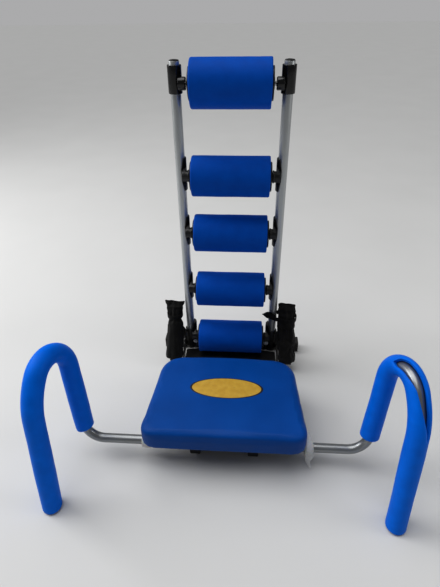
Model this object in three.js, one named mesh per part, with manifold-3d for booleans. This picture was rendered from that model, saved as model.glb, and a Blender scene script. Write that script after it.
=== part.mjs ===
// Floor-standing roller-back sit-up chair.
// Millimetres, +Z up, +X to the right of a person looking at the seat from the front, +Y to the rear.
// The bench is laid out with its uprights at y = 0, then centred on its bounding box at the end.
import * as THREE from 'three';
import { mergeVertices } from 'three/addons/utils/BufferGeometryUtils.js';
import Module from 'manifold-3d';

const wasm = await Module();
wasm.setup();

// ---------------------------------------------------------------- driving dimensions
const FIT_GAP = 0.3;

// Back frame.
const UPRIGHT_X = 103.5;
const UPRIGHT_RADIUS = 9.75;
const UPRIGHT_WALL = 1.5;
const UPRIGHT_TOP = 700;
const SOCKET_RADIUS = 13;
const SOCKET_TOP = 88;
const HINGE_Z = 40;
const PIVOT_RADIUS = 4;
const PIVOT_HEAD_RADIUS = 6.5;
const PIVOT_HEAD_THICKNESS = 4.5;

// Rollers: their axis lies in front of the uprights.
const ROLLER_FORWARD = 14;
const ROLLER_HEIGHTS = [493.5, 366, 219.5, 74.6];
const ROLLER_RADIUS = 40.4;
const ROLLER_HALF_LENGTH = 79;
const HEAD_HEIGHT = 664.8;
const HEAD_RADIUS = 43.5;
const HEAD_HALF_LENGTH = 74;
const AXLE_RADIUS = 4;
const CORE_RADIUS = 16;
const END_DISC_RADIUS = 29;
const END_DISC_THICKNESS = 2.5;
const HUB_RADIUS = 11;
const HUB_LENGTH = 1.5;
const SADDLE_INNER_X = 87.4;
const SADDLE_BOSS_RADIUS = 12.5;
const SADDLE_REACH = 35;
const SLEEVE_BOTTOM = 646;
const SLEEVE_TOP = 694;

// Floor frame.
const FRAME_TUBE = 26;
const CROSSBAR_HALF_LENGTH = 176;
const CROSSBAR_Y = 32;
const CROSSBAR_BOTTOM = 2;
const RAIL_X = 60;
const RAIL_SIZE = 22;
const RAIL_TOP = 28;
const RAIL_FRONT = -314;
const FRONT_TUBE_Y = -313;
const FRONT_TUBE_Z = RAIL_TOP + FIT_GAP + FRAME_TUBE / 2;
const FRONT_TUBE_HALF_LENGTH = 150;
const REAR_TUBE_Y = -178;
const REAR_TUBE_HALF_LENGTH = 92;

// Seat.
const SEAT_TOP = 113;
const SEAT_FRONT = -352;
const SEAT_REAR = -128;
const SEAT_FRONT_HALF_WIDTH = 163;
const SEAT_REAR_HALF_WIDTH = 150;
const SEAT_EDGE_RADIUS = 10;
const BOARD_BOTTOM = FRONT_TUBE_Z + FRAME_TUBE / 2 + FIT_GAP;
const BOARD_THICKNESS = 9;
const BOARD_INSET = 13;

// Handles: one bent tube a side, plugged into the front cross tube.
const HANDLE_TUBE_RADIUS = 9.5;
const HANDLE_TUBE_WALL = 1.5;
const HANDLE_BORE = 10.2;
const HANDLE_INNER_X = 70;
const HANDLE_X = 283.5;
const HANDLE_TOP_REAR = [308, -262, 351];
const HANDLE_TOP_FRONT = [325, -390, 231];
const HANDLE_FOOT = [318, -442];
const HANDLE_BENDS = [40, 47, 135];
const HANDLE_BEND_STEPS = 6;
const FOAM_RADIUS = 18.5;
const FOAM_END_Z = 2;
const TUBE_END_Z = 5.5;
const FOOT_RADIUS = 9.3;
const FOOT_PLUG_RADIUS = 7.2;
const FOOT_PLUG_LENGTH = 14;
const COLLAR_RADIUS = 16;
const COLLAR_LENGTH = 17;
const RIGHT_COLLAR_SLIP = 12;
const SCREW_X = 128;
const SCREW_RADIUS = 2.8;
const SCREW_HEAD_RADIUS = 6;
const SCREW_HEAD_HEIGHT = 5;

// Resistance springs and their fabric covers, from an arm on the socket to a pin on the hinge bracket.
const SPRING_X = 140;
const SPRING_LOWER = [-48, 29];
const SPRING_UPPER = [6, 165];
const SPRING_RADIUS = 10.5;
const SPRING_WIRE = 1.5;
const SPRING_TURNS = 7;
const ARM_Y = -14;
const STRAP_Z = 135;

// ---------------------------------------------------------------- materials
function finish(color, roughness, metalness) {
  return new THREE.MeshStandardMaterial({ color, roughness, metalness });
}

const blackSteel = finish(0x151517, 0.45, 0.6);
const silverSteel = finish(0x9da1a4, 0.35, 0.9);
const zincSteel = finish(0xb9bbbd, 0.3, 1.0);
const springSteel = finish(0x54575b, 0.4, 0.9);
const blackPlastic = finish(0x121214, 0.35, 0.0);
const blackRubber = finish(0x1a1a1b, 0.8, 0.0);
const paleNylon = finish(0xc9c9c2, 0.45, 0.0);
const rollerFoam = finish(0x0b4a9c, 0.55, 0.0);
const handleFoam = finish(0x0a5bd0, 0.65, 0.0);
const seatVinyl = finish(0x05468f, 0.35, 0.0);
const plywood = finish(0x8d6b45, 0.7, 0.0);
const coverCloth = finish(0x111112, 0.9, 0.0);

// ---------------------------------------------------------------- solids
// Welds a geometry's shared vertices and drops the slivers that a lathe leaves at its axis.
function weld(geometry) {
  const bare = geometry.clone();
  bare.deleteAttribute('normal');
  bare.deleteAttribute('uv');
  const welded = mergeVertices(bare, 1e-3);
  const source = welded.index.array;
  const kept = [];
  for (let i = 0; i < source.length; i += 3) {
    const [a, b, c] = [source[i], source[i + 1], source[i + 2]];
    if (a !== b && b !== c && c !== a) {
      kept.push(a, b, c);
    }
  }
  welded.setIndex(kept);
  return welded;
}

function toManifold(geometry) {
  const welded = weld(geometry);
  return new wasm.Manifold(new wasm.Mesh({
    numProp: 3,
    vertProperties: new Float32Array(welded.attributes.position.array),
    triVerts: new Uint32Array(welded.index.array),
  }));
}

function toGeometry(manifold) {
  const mesh = manifold.getMesh();
  const geometry = new THREE.BufferGeometry();
  geometry.setAttribute('position', new THREE.BufferAttribute(mesh.vertProperties, 3));
  geometry.setIndex(new THREE.BufferAttribute(mesh.triVerts, 1));
  return geometry;
}

function join(first, ...others) {
  return toGeometry(others.reduce((sum, each) => sum.add(toManifold(each)), toManifold(first)));
}

function cut(first, ...tools) {
  return toGeometry(tools.reduce((rest, each) => rest.subtract(toManifold(each)), toManifold(first)));
}

// Reflects a geometry in the plane x = 0 when side is -1, keeping its faces pointing out.
function onSide(geometry, side) {
  if (side > 0) {
    return geometry;
  }
  const reflected = weld(geometry);
  reflected.scale(-1, 1, 1);
  const order = Array.from(reflected.index.array);
  for (let i = 0; i < order.length; i += 3) {
    [order[i + 1], order[i + 2]] = [order[i + 2], order[i + 1]];
  }
  reflected.setIndex(order);
  return reflected;
}

function box(low, high) {
  const size = high.map((value, i) => value - low[i]);
  const middle = high.map((value, i) => (value + low[i]) / 2);
  return new THREE.BoxGeometry(...size).translate(...middle);
}

// A solid of revolution about Z. The profile lists [radius, height] and closes on the axis or on itself.
function turned(profile, segments = 16) {
  const ring = profile.every(([radius]) => radius > 0);
  const outline = ring ? [...profile, profile[0]] : profile;
  const points = outline.map(([radius, height]) => new THREE.Vector2(radius, height));
  return new THREE.LatheGeometry(points, segments).rotateX(Math.PI / 2);
}

function rod(radius, bottom, top, segments = 16) {
  return turned([[0, bottom], [radius, bottom], [radius, top], [0, top]], segments);
}

function pipe(outer, inner, bottom, top, segments = 16) {
  return turned([[inner, bottom], [outer, bottom], [outer, top], [inner, top]], segments);
}

// Turns a solid made about Z so that it lies along X.
function alongX(geometry) {
  return geometry.rotateY(Math.PI / 2);
}

// ---------------------------------------------------------------- bent tubes
// A route of straight runs and arcs, given by its knots and stepped from knot to knot.
class KnotPath extends THREE.Curve {
  constructor(knots) {
    super();
    this.knots = knots;
  }

  getPoint(t, target = new THREE.Vector3()) {
    const place = t * (this.knots.length - 1);
    const index = Math.min(Math.floor(place), this.knots.length - 2);
    return target.lerpVectors(this.knots[index], this.knots[index + 1], place - index);
  }

  getUtoTmapping(u) {
    return u;
  }
}

// Knots through a list of corners, each rounded by its own bend radius.
function bentKnots(corners, radii, steps) {
  const knots = [corners[0]];
  for (let i = 1; i < corners.length - 1; i += 1) {
    const corner = corners[i];
    const back = corners[i - 1].clone().sub(corner).normalize();
    const ahead = corners[i + 1].clone().sub(corner).normalize();
    const half = back.angleTo(ahead) / 2;
    const radius = radii[i - 1];
    const inward = back.clone().add(ahead).normalize();
    const centre = corner.clone().addScaledVector(inward, radius / Math.sin(half));
    const spoke = corner.clone().addScaledVector(back, radius / Math.tan(half)).sub(centre);
    const axis = ahead.clone().cross(back).normalize().negate();
    for (let k = 0; k <= steps; k += 1) {
      const turn = (Math.PI - 2 * half) * (k / steps);
      knots.push(spoke.clone().applyAxisAngle(axis, -turn).add(centre));
    }
  }
  knots.push(corners[corners.length - 1]);
  return knots;
}

function ringShape(outer, inner, sides) {
  const circle = (radius) => Array.from({ length: sides }, (_, k) => {
    const angle = (2 * Math.PI * k) / sides;
    return new THREE.Vector2(radius * Math.cos(angle), radius * Math.sin(angle));
  });
  const shape = new THREE.Shape(circle(outer));
  if (inner > 0) {
    shape.holes.push(new THREE.Path(circle(inner)));
  }
  return shape;
}

function sweep(shape, knots) {
  return new THREE.ExtrudeGeometry(shape, { steps: knots.length - 1, extrudePath: new KnotPath(knots) });
}

// ---------------------------------------------------------------- assembly
const bench = new THREE.Group();
const SIDES = [['left', -1], ['right', 1]];

function add(name, geometry, material, position = [0, 0, 0]) {
  const mesh = new THREE.Mesh(weld(geometry), material);
  mesh.name = name;
  mesh.position.set(...position);
  bench.add(mesh);
}

// ---------------------------------------------------------------- floor frame
function addFloorFrame() {
  const half = FRAME_TUBE / 2;
  const [front, rear] = [CROSSBAR_Y - half, CROSSBAR_Y + half];
  const top = CROSSBAR_BOTTOM + FRAME_TUBE;
  const wall = 2;
  const crossbar = box([-CROSSBAR_HALF_LENGTH, front, CROSSBAR_BOTTOM], [CROSSBAR_HALF_LENGTH, rear, top]);
  const hollow = box(
    [-CROSSBAR_HALF_LENGTH - 1, front + wall, CROSSBAR_BOTTOM + wall],
    [CROSSBAR_HALF_LENGTH + 1, rear - wall, top - wall],
  );
  add('rear_crossbar', cut(crossbar, hollow), blackSteel);

  const capLength = 26;
  const capWall = CROSSBAR_BOTTOM;
  for (const [name, side] of SIDES) {
    const inner = CROSSBAR_HALF_LENGTH - capLength;
    const outer = CROSSBAR_HALF_LENGTH + capWall;
    const cap = box([inner, front - capWall, 0], [outer, rear + capWall, top + capWall]);
    const seat = box(
      [inner - 1, front - FIT_GAP, CROSSBAR_BOTTOM - FIT_GAP],
      [CROSSBAR_HALF_LENGTH + FIT_GAP, rear + FIT_GAP, top + FIT_GAP],
    );
    add(`crossbar_cap_${name}`, onSide(cut(cap, seat), side), blackRubber);
  }

  for (const [name, side] of SIDES) {
    const low = [-RAIL_SIZE / 2, RAIL_FRONT, RAIL_TOP - RAIL_SIZE];
    const high = [RAIL_SIZE / 2, front - FIT_GAP, RAIL_TOP];
    const bore = box([low[0] + wall, low[1] - 1, low[2] + wall], [high[0] - wall, high[1] + 1, high[2] - wall]);
    add(`side_rail_${name}`, cut(box(low, high), bore), blackSteel, [side * RAIL_X, 0, 0]);
  }

  const tubeRadius = FRAME_TUBE / 2;
  const holeRadius = SCREW_RADIUS + 2 * FIT_GAP;
  const screwHoles = SIDES.map(([, side]) => {
    return rod(holeRadius, -tubeRadius - 1, 0, 12).translate(side * SCREW_X, 0, 0);
  });
  const frontTube = alongX(pipe(tubeRadius, HANDLE_BORE, -FRONT_TUBE_HALF_LENGTH, FRONT_TUBE_HALF_LENGTH));
  add('front_cross_tube', cut(frontTube, ...screwHoles), blackSteel, [0, FRONT_TUBE_Y, FRONT_TUBE_Z]);

  const rearTube = pipe(tubeRadius, tubeRadius - wall, -REAR_TUBE_HALF_LENGTH, REAR_TUBE_HALF_LENGTH);
  add('seat_rear_tube', alongX(rearTube), blackSteel, [0, REAR_TUBE_Y, FRONT_TUBE_Z]);
}

// ---------------------------------------------------------------- hinge between floor frame and back
const EAR_THICKNESS = 4;
const EAR_CLEARANCE = 1;
const INNER_EAR_X = UPRIGHT_X - SOCKET_RADIUS - EAR_CLEARANCE - EAR_THICKNESS;
const OUTER_EAR_X = UPRIGHT_X + SOCKET_RADIUS + EAR_CLEARANCE;
const PIN_Z = SPRING_LOWER[1] - 7;
const PIN_Y = SPRING_LOWER[0] - 3;

// An ear's outline in the YZ plane, extruded along X from x by the ear's thickness.
function earPlate(outline, x) {
  const shape = new THREE.Shape(outline.map(([y, z]) => new THREE.Vector2(y, z)));
  const plate = new THREE.ExtrudeGeometry(shape, { depth: EAR_THICKNESS, bevelEnabled: false });
  return plate.rotateY(Math.PI / 2).rotateX(Math.PI / 2).translate(x, 0, 0);
}

function addHinges() {
  const bracketBottom = CROSSBAR_BOTTOM + FRAME_TUBE + FIT_GAP;
  const earTop = HINGE_Z + 13;
  const rear = CROSSBAR_Y + FRAME_TUBE / 2 - 1;
  const front = CROSSBAR_Y - FRAME_TUBE / 2 + 1;
  const ear = [
    [-11, HINGE_Z - 12], [front - 4, HINGE_Z - 12], [front - 2, bracketBottom], [rear, bracketBottom],
    [rear, bracketBottom + 6], [12, earTop - 3], [6, earTop], [-6, earTop], [-12, earTop - 6],
  ];
  const arm = [
    [PIN_Y - 7, PIN_Z - 7], [PIN_Y + 12, PIN_Z - 7], [-9, HINGE_Z - 12.5],
    [-9, HINGE_Z + 4], [-20, HINGE_Z], [PIN_Y - 7, PIN_Z + 7],
  ];
  const outerEnd = OUTER_EAR_X + EAR_THICKNESS;
  const base = box([INNER_EAR_X, front, bracketBottom], [outerEnd, rear, bracketBottom + EAR_THICKNESS]);
  const pin = alongX(rod(PIVOT_RADIUS, OUTER_EAR_X + 1, SPRING_X + 14, 12)).translate(0, PIN_Y, PIN_Z);
  const pivotHole = alongX(rod(PIVOT_RADIUS + 0.4, INNER_EAR_X - 1, outerEnd + 1)).translate(0, 0, HINGE_Z);
  const bracket = cut(
    join(earPlate(ear, INNER_EAR_X), earPlate(ear, OUTER_EAR_X), base, earPlate(arm, OUTER_EAR_X), pin),
    pivotHole,
  );
  const innerFace = INNER_EAR_X - FIT_GAP;
  const outerFace = outerEnd + FIT_GAP;
  const bolt = alongX(turned([
    [0, innerFace - PIVOT_HEAD_THICKNESS], [PIVOT_HEAD_RADIUS, innerFace - PIVOT_HEAD_THICKNESS],
    [PIVOT_HEAD_RADIUS, innerFace], [PIVOT_RADIUS, innerFace],
    [PIVOT_RADIUS, outerFace], [PIVOT_HEAD_RADIUS, outerFace],
    [PIVOT_HEAD_RADIUS, outerFace + PIVOT_HEAD_THICKNESS], [0, outerFace + PIVOT_HEAD_THICKNESS],
  ], 12));
  for (const [name, side] of SIDES) {
    add(`hinge_bracket_${name}`, onSide(bracket, side), blackSteel);
    add(`pivot_bolt_${name}`, onSide(bolt, side), zincSteel, [0, 0, HINGE_Z]);
  }
}

// ---------------------------------------------------------------- seat
// The seat's plan outline, drawn inward by an inset: straight sides, round corners, a bowed rear edge.
function seatOutline(inset) {
  const front = SEAT_FRONT + inset;
  const rear = SEAT_REAR - inset;
  const frontHalf = SEAT_FRONT_HALF_WIDTH - inset;
  const rearHalf = SEAT_REAR_HALF_WIDTH - inset;
  const frontCorner = 30;
  const rearCorner = 46;
  const bow = 12;
  const shape = new THREE.Shape();
  shape.moveTo(-frontHalf + frontCorner, front);
  shape.lineTo(frontHalf - frontCorner, front);
  shape.quadraticCurveTo(frontHalf, front, frontHalf - 1, front + frontCorner);
  shape.lineTo(rearHalf, rear - rearCorner - bow);
  shape.quadraticCurveTo(rearHalf - 2, rear - bow, rearHalf - rearCorner, rear - bow / 3);
  shape.quadraticCurveTo(0, rear + bow / 3, -rearHalf + rearCorner, rear - bow / 3);
  shape.quadraticCurveTo(-rearHalf + 2, rear - bow, -rearHalf, rear - rearCorner - bow);
  shape.lineTo(-frontHalf + 1, front + frontCorner);
  shape.quadraticCurveTo(-frontHalf, front, -frontHalf + frontCorner, front);
  return shape;
}

function addSeat() {
  const curve = 5;
  const board = new THREE.ExtrudeGeometry(seatOutline(BOARD_INSET), {
    depth: BOARD_THICKNESS, bevelEnabled: false, curveSegments: curve,
  });
  add('seat_board', board, plywood, [0, 0, BOARD_BOTTOM]);

  const padBottom = BOARD_BOTTOM + BOARD_THICKNESS + FIT_GAP;
  const pad = new THREE.ExtrudeGeometry(seatOutline(0), {
    depth: SEAT_TOP - padBottom - 2 * SEAT_EDGE_RADIUS,
    bevelEnabled: true,
    bevelThickness: SEAT_EDGE_RADIUS,
    bevelSize: SEAT_EDGE_RADIUS,
    bevelOffset: -SEAT_EDGE_RADIUS,
    bevelSegments: 3,
    curveSegments: curve,
  });
  add('seat_cushion', pad, seatVinyl, [0, 0, padBottom + SEAT_EDGE_RADIUS]);
}

// ---------------------------------------------------------------- handles
function handleKnots(side) {
  const at = (x, y, z) => new THREE.Vector3(side * x, y, z);
  const corners = [
    at(HANDLE_INNER_X, FRONT_TUBE_Y, FRONT_TUBE_Z),
    at(HANDLE_X, FRONT_TUBE_Y, FRONT_TUBE_Z),
    at(...HANDLE_TOP_REAR),
    at(...HANDLE_TOP_FRONT),
    at(...HANDLE_FOOT, TUBE_END_Z),
  ];
  return bentKnots(corners, HANDLE_BENDS, HANDLE_BEND_STEPS);
}

// A slab below a level, for cutting the lower end of a handle off flat.
function slabUnder(tip, level) {
  return box([tip.x - 50, tip.y - 50, -50], [tip.x + 50, tip.y + 50, level]);
}

function addHandles() {
  const tubeRing = ringShape(HANDLE_TUBE_RADIUS, HANDLE_TUBE_RADIUS - HANDLE_TUBE_WALL, 10);
  const foamRing = ringShape(FOAM_RADIUS, HANDLE_BORE, 10);
  for (const [name, side] of SIDES) {
    const knots = handleKnots(side);
    add(`handle_tube_${name}`, sweep(tubeRing, knots), silverSteel);

    const tip = knots[knots.length - 1];
    const lean = knots[knots.length - 2].clone().sub(tip).normalize();
    const belowFloor = tip.clone().addScaledVector(lean, -3 * TUBE_END_Z);
    // The right grip has ridden up its tube by one knot.
    const firstKnot = HANDLE_BEND_STEPS + (side > 0 ? 1 : 0);
    const foam = sweep(foamRing, [...knots.slice(firstKnot, -1), belowFloor]);
    add(`handle_foam_${name}`, cut(foam, slabUnder(tip, FOAM_END_Z)), handleFoam);

    const foot = turned([
      [0, -2 * TUBE_END_Z], [FOOT_RADIUS, -2 * TUBE_END_Z], [FOOT_RADIUS, -FIT_GAP],
      [FOOT_PLUG_RADIUS, -FIT_GAP], [FOOT_PLUG_RADIUS, FOOT_PLUG_LENGTH], [0, FOOT_PLUG_LENGTH],
    ]);
    const upright = new THREE.Vector3(0, 0, 1);
    foot.applyQuaternion(new THREE.Quaternion().setFromUnitVectors(upright, lean));
    foot.translate(tip.x, tip.y, tip.z);
    add(`handle_foot_${name}`, cut(foot, slabUnder(tip, 0)), blackRubber);

    const slip = side > 0 ? RIGHT_COLLAR_SLIP : 0;
    const collarStart = FRONT_TUBE_HALF_LENGTH + FIT_GAP + slip;
    const collar = alongX(pipe(COLLAR_RADIUS, HANDLE_BORE, collarStart, collarStart + COLLAR_LENGTH, 14));
    add(`tube_collar_${name}`, onSide(collar, side), paleNylon, [0, FRONT_TUBE_Y, FRONT_TUBE_Z]);

    const shankTop = -HANDLE_TUBE_RADIUS - FIT_GAP;
    const headTop = -FRAME_TUBE / 2 - FIT_GAP;
    const headBottom = headTop - SCREW_HEAD_HEIGHT;
    const screw = turned([
      [0, headBottom], [SCREW_HEAD_RADIUS, headBottom], [SCREW_HEAD_RADIUS, headTop],
      [SCREW_RADIUS, headTop], [SCREW_RADIUS, shankTop], [0, shankTop],
    ], 12);
    add(`handle_screw_${name}`, screw, zincSteel, [side * SCREW_X, FRONT_TUBE_Y, FRONT_TUBE_Z]);
  }
}

// ---------------------------------------------------------------- uprights and their sockets
// The arm that holds the top of a spring, in the XZ plane at the front of the socket.
function springArm(grow) {
  const shape = new THREE.Shape([
    new THREE.Vector2(UPRIGHT_X + 1, 60 - grow),
    new THREE.Vector2(UPRIGHT_X + 13, 60 - grow),
    new THREE.Vector2(SPRING_X - 14, 96 - grow),
    new THREE.Vector2(SPRING_X + 8 + grow, 98 - grow),
    new THREE.Vector2(SPRING_X + 8 + grow, 112 + grow),
    new THREE.Vector2(SPRING_X - 12, 112 + grow),
    new THREE.Vector2(UPRIGHT_X + 1, 84 + grow),
  ]);
  const depth = 8 + 2 * grow;
  const arm = new THREE.ExtrudeGeometry(shape, { depth, bevelEnabled: false });
  return arm.rotateX(Math.PI / 2).translate(0, ARM_Y + depth / 2, 0);
}

function addUprights() {
  const boreBottom = 60;
  const bore = UPRIGHT_RADIUS + 0.6;
  const body = turned([
    [0, HINGE_Z - 13], [SOCKET_RADIUS - 2, HINGE_Z - 13], [SOCKET_RADIUS, HINGE_Z - 11],
    [SOCKET_RADIUS, SOCKET_TOP - 1], [SOCKET_RADIUS - 1, SOCKET_TOP], [0, SOCKET_TOP],
  ]).translate(UPRIGHT_X, 0, 0);
  const tubeBore = rod(bore, boreBottom, SOCKET_TOP + 1).translate(UPRIGHT_X, 0, 0);
  const pivotBore = alongX(rod(PIVOT_RADIUS + 0.4, UPRIGHT_X - 20, UPRIGHT_X + 20)).translate(0, 0, HINGE_Z);
  const socket = cut(join(body, springArm(0)), tubeBore, pivotBore);
  const tube = pipe(UPRIGHT_RADIUS, UPRIGHT_RADIUS - UPRIGHT_WALL, boreBottom + FIT_GAP, UPRIGHT_TOP);
  const plugRadius = UPRIGHT_RADIUS - UPRIGHT_WALL - 0.5;
  const plug = turned([
    [0, UPRIGHT_TOP - 14], [plugRadius, UPRIGHT_TOP - 14], [plugRadius, UPRIGHT_TOP + FIT_GAP],
    [UPRIGHT_RADIUS - 1, UPRIGHT_TOP + FIT_GAP], [UPRIGHT_RADIUS - 2.5, UPRIGHT_TOP + 2], [0, UPRIGHT_TOP + 2.5],
  ], 14);
  for (const [name, side] of SIDES) {
    add(`socket_${name}`, onSide(socket, side), blackSteel);
    add(`upright_${name}`, tube, silverSteel, [side * UPRIGHT_X, 0, 0]);
    add(`top_plug_${name}`, plug, blackPlastic, [side * UPRIGHT_X, 0, 0]);
  }
}

// ---------------------------------------------------------------- rollers
// A roller's moulded core: a bored spindle with a disc and a hub at each end.
function rollerCore(halfLength) {
  const disc = halfLength + END_DISC_THICKNESS;
  const tip = disc + HUB_LENGTH;
  const half = [
    [AXLE_RADIUS + 0.6, tip], [HUB_RADIUS, tip], [HUB_RADIUS, disc], [END_DISC_RADIUS, disc],
    [END_DISC_RADIUS, halfLength + FIT_GAP], [CORE_RADIUS, halfLength + FIT_GAP],
  ];
  const lower = half.map(([radius, height]) => [radius, -height]);
  return alongX(turned([...lower, ...half.reverse()], 14));
}

function rollerPad(halfLength, radius) {
  const bore = CORE_RADIUS + 0.7;
  const half = [[bore, halfLength], [radius - 5, halfLength], [radius - 1, halfLength - 4], [radius, halfLength - 10]];
  const lower = half.map(([r, height]) => [r, -height]);
  return alongX(turned([...lower, ...half.reverse()], 18));
}

// The saddle that carries an axle's end, flat against the inner side of an upright, with a round boss.
function rollerBracket(outerX, lowerReach) {
  const nose = ROLLER_FORWARD + HUB_RADIUS;
  const outline = [
    [6, SADDLE_REACH], [-6, SADDLE_REACH], [-nose, HUB_RADIUS], [-nose, -HUB_RADIUS],
    [-6, -lowerReach], [6, -lowerReach], [8, 0],
  ];
  const bossInner = ROLLER_HALF_LENGTH + END_DISC_THICKNESS + HUB_LENGTH + 0.5;
  const shape = new THREE.Shape(outline.map(([y, z]) => new THREE.Vector2(y, z)));
  const plate = new THREE.ExtrudeGeometry(shape, { depth: outerX - SADDLE_INNER_X, bevelEnabled: false });
  plate.rotateY(Math.PI / 2).rotateX(Math.PI / 2).translate(SADDLE_INNER_X, 0, 0);
  const boss = alongX(rod(SADDLE_BOSS_RADIUS, bossInner, SADDLE_INNER_X + 1)).translate(0, -ROLLER_FORWARD, 0);
  const hole = alongX(rod(AXLE_RADIUS + 0.4, bossInner - 1, outerX + 1, 12)).translate(0, -ROLLER_FORWARD, 0);
  return cut(join(plate, boss), hole);
}

function addRollers() {
  const core = rollerCore(ROLLER_HALF_LENGTH);
  const pad = rollerPad(ROLLER_HALF_LENGTH, ROLLER_RADIUS);
  ROLLER_HEIGHTS.forEach((height, index) => {
    const number = index + 1;
    const lowest = index === ROLLER_HEIGHTS.length - 1;
    const outerX = lowest ? UPRIGHT_X - SOCKET_RADIUS - FIT_GAP : UPRIGHT_X - UPRIGHT_RADIUS - FIT_GAP;
    const bracket = rollerBracket(outerX, lowest ? 14 : SADDLE_REACH);
    const axle = alongX(rod(AXLE_RADIUS, -outerX, outerX, 12));
    const centre = [0, -ROLLER_FORWARD, height];
    add(`roller_core_${number}`, core, blackPlastic, centre);
    add(`roller_pad_${number}`, pad, rollerFoam, centre);
    add(`roller_axle_${number}`, axle, zincSteel, centre);
    for (const [name, side] of SIDES) {
      add(`roller_bracket_${number}_${name}`, onSide(bracket, side), blackPlastic, [0, 0, height]);
    }
  });
}

// ---------------------------------------------------------------- sliding headrest
function addHeadrest() {
  const bossInner = HEAD_HALF_LENGTH + END_DISC_THICKNESS + 2;
  const bossOuter = UPRIGHT_X - UPRIGHT_RADIUS - 1.5;
  const outer = turned([
    [0, SLEEVE_BOTTOM], [SOCKET_RADIUS - 0.8, SLEEVE_BOTTOM], [SOCKET_RADIUS, SLEEVE_BOTTOM + 1],
    [SOCKET_RADIUS, SLEEVE_TOP - 1], [SOCKET_RADIUS - 0.8, SLEEVE_TOP], [0, SLEEVE_TOP],
  ]).translate(UPRIGHT_X, 0, 0);
  const boss = alongX(rod(HUB_RADIUS + 0.5, bossInner, bossOuter + 6)).translate(0, -ROLLER_FORWARD, HEAD_HEIGHT);
  const bore = rod(UPRIGHT_RADIUS + 0.6, SLEEVE_BOTTOM - 1, SLEEVE_TOP + 1).translate(UPRIGHT_X, 0, 0);
  const axleHole = alongX(rod(AXLE_RADIUS + 0.4, bossInner - 1, bossOuter, 12));
  axleHole.translate(0, -ROLLER_FORWARD, HEAD_HEIGHT);
  const sleeve = cut(join(outer, boss), bore, axleHole);
  for (const [name, side] of SIDES) {
    add(`headrest_sleeve_${name}`, onSide(sleeve, side), blackPlastic);
  }
  const centre = [0, -ROLLER_FORWARD, HEAD_HEIGHT];
  const axleEnd = bossOuter - FIT_GAP;
  add('headrest_axle', alongX(rod(AXLE_RADIUS, -axleEnd, axleEnd, 12)), zincSteel, centre);
  add('headrest_core', rollerCore(HEAD_HALF_LENGTH), blackPlastic, centre);
  add('headrest_pad', rollerPad(HEAD_HALF_LENGTH, HEAD_RADIUS), rollerFoam, centre);
}

// ---------------------------------------------------------------- springs, covers and straps
// Stands a solid made up the Z axis on the spring's sloping centre line.
function onSpringLine(geometry) {
  const [run, rise] = [SPRING_UPPER[0] - SPRING_LOWER[0], SPRING_UPPER[1] - SPRING_LOWER[1]];
  const slope = Math.atan2(run, rise);
  return geometry.rotateX(-slope).translate(SPRING_X, SPRING_LOWER[0], SPRING_LOWER[1]);
}

function springCoil(bottom, top) {
  const stepsPerTurn = 9;
  const steps = SPRING_TURNS * stepsPerTurn;
  const knots = Array.from({ length: steps + 1 }, (_, k) => {
    const angle = (2 * Math.PI * k) / stepsPerTurn;
    const height = bottom + ((top - bottom) * k) / steps;
    return new THREE.Vector3(SPRING_RADIUS * Math.cos(angle), SPRING_RADIUS * Math.sin(angle), height);
  });
  return sweep(ringShape(SPRING_WIRE, 0, 5), knots);
}

// A hull outline round two circles in plan: the strap's path round a cover and, if wanted, an upright.
function loopOutline(circles) {
  const points = [];
  const [first, second] = circles;
  const gap = Math.hypot(second.x - first.x, second.y - first.y);
  const heading = Math.atan2(second.y - first.y, second.x - first.x);
  const flare = Math.acos((first.r - second.r) / gap);
  const arc = (circle, from, to) => {
    const steps = 8;
    for (let k = 0; k <= steps; k += 1) {
      const angle = from + ((to - from) * k) / steps;
      points.push(new THREE.Vector2(circle.x + circle.r * Math.cos(angle), circle.y + circle.r * Math.sin(angle)));
    }
  };
  arc(first, heading + flare, heading + 2 * Math.PI - flare);
  arc(second, heading - flare, heading + flare);
  return points;
}

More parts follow.
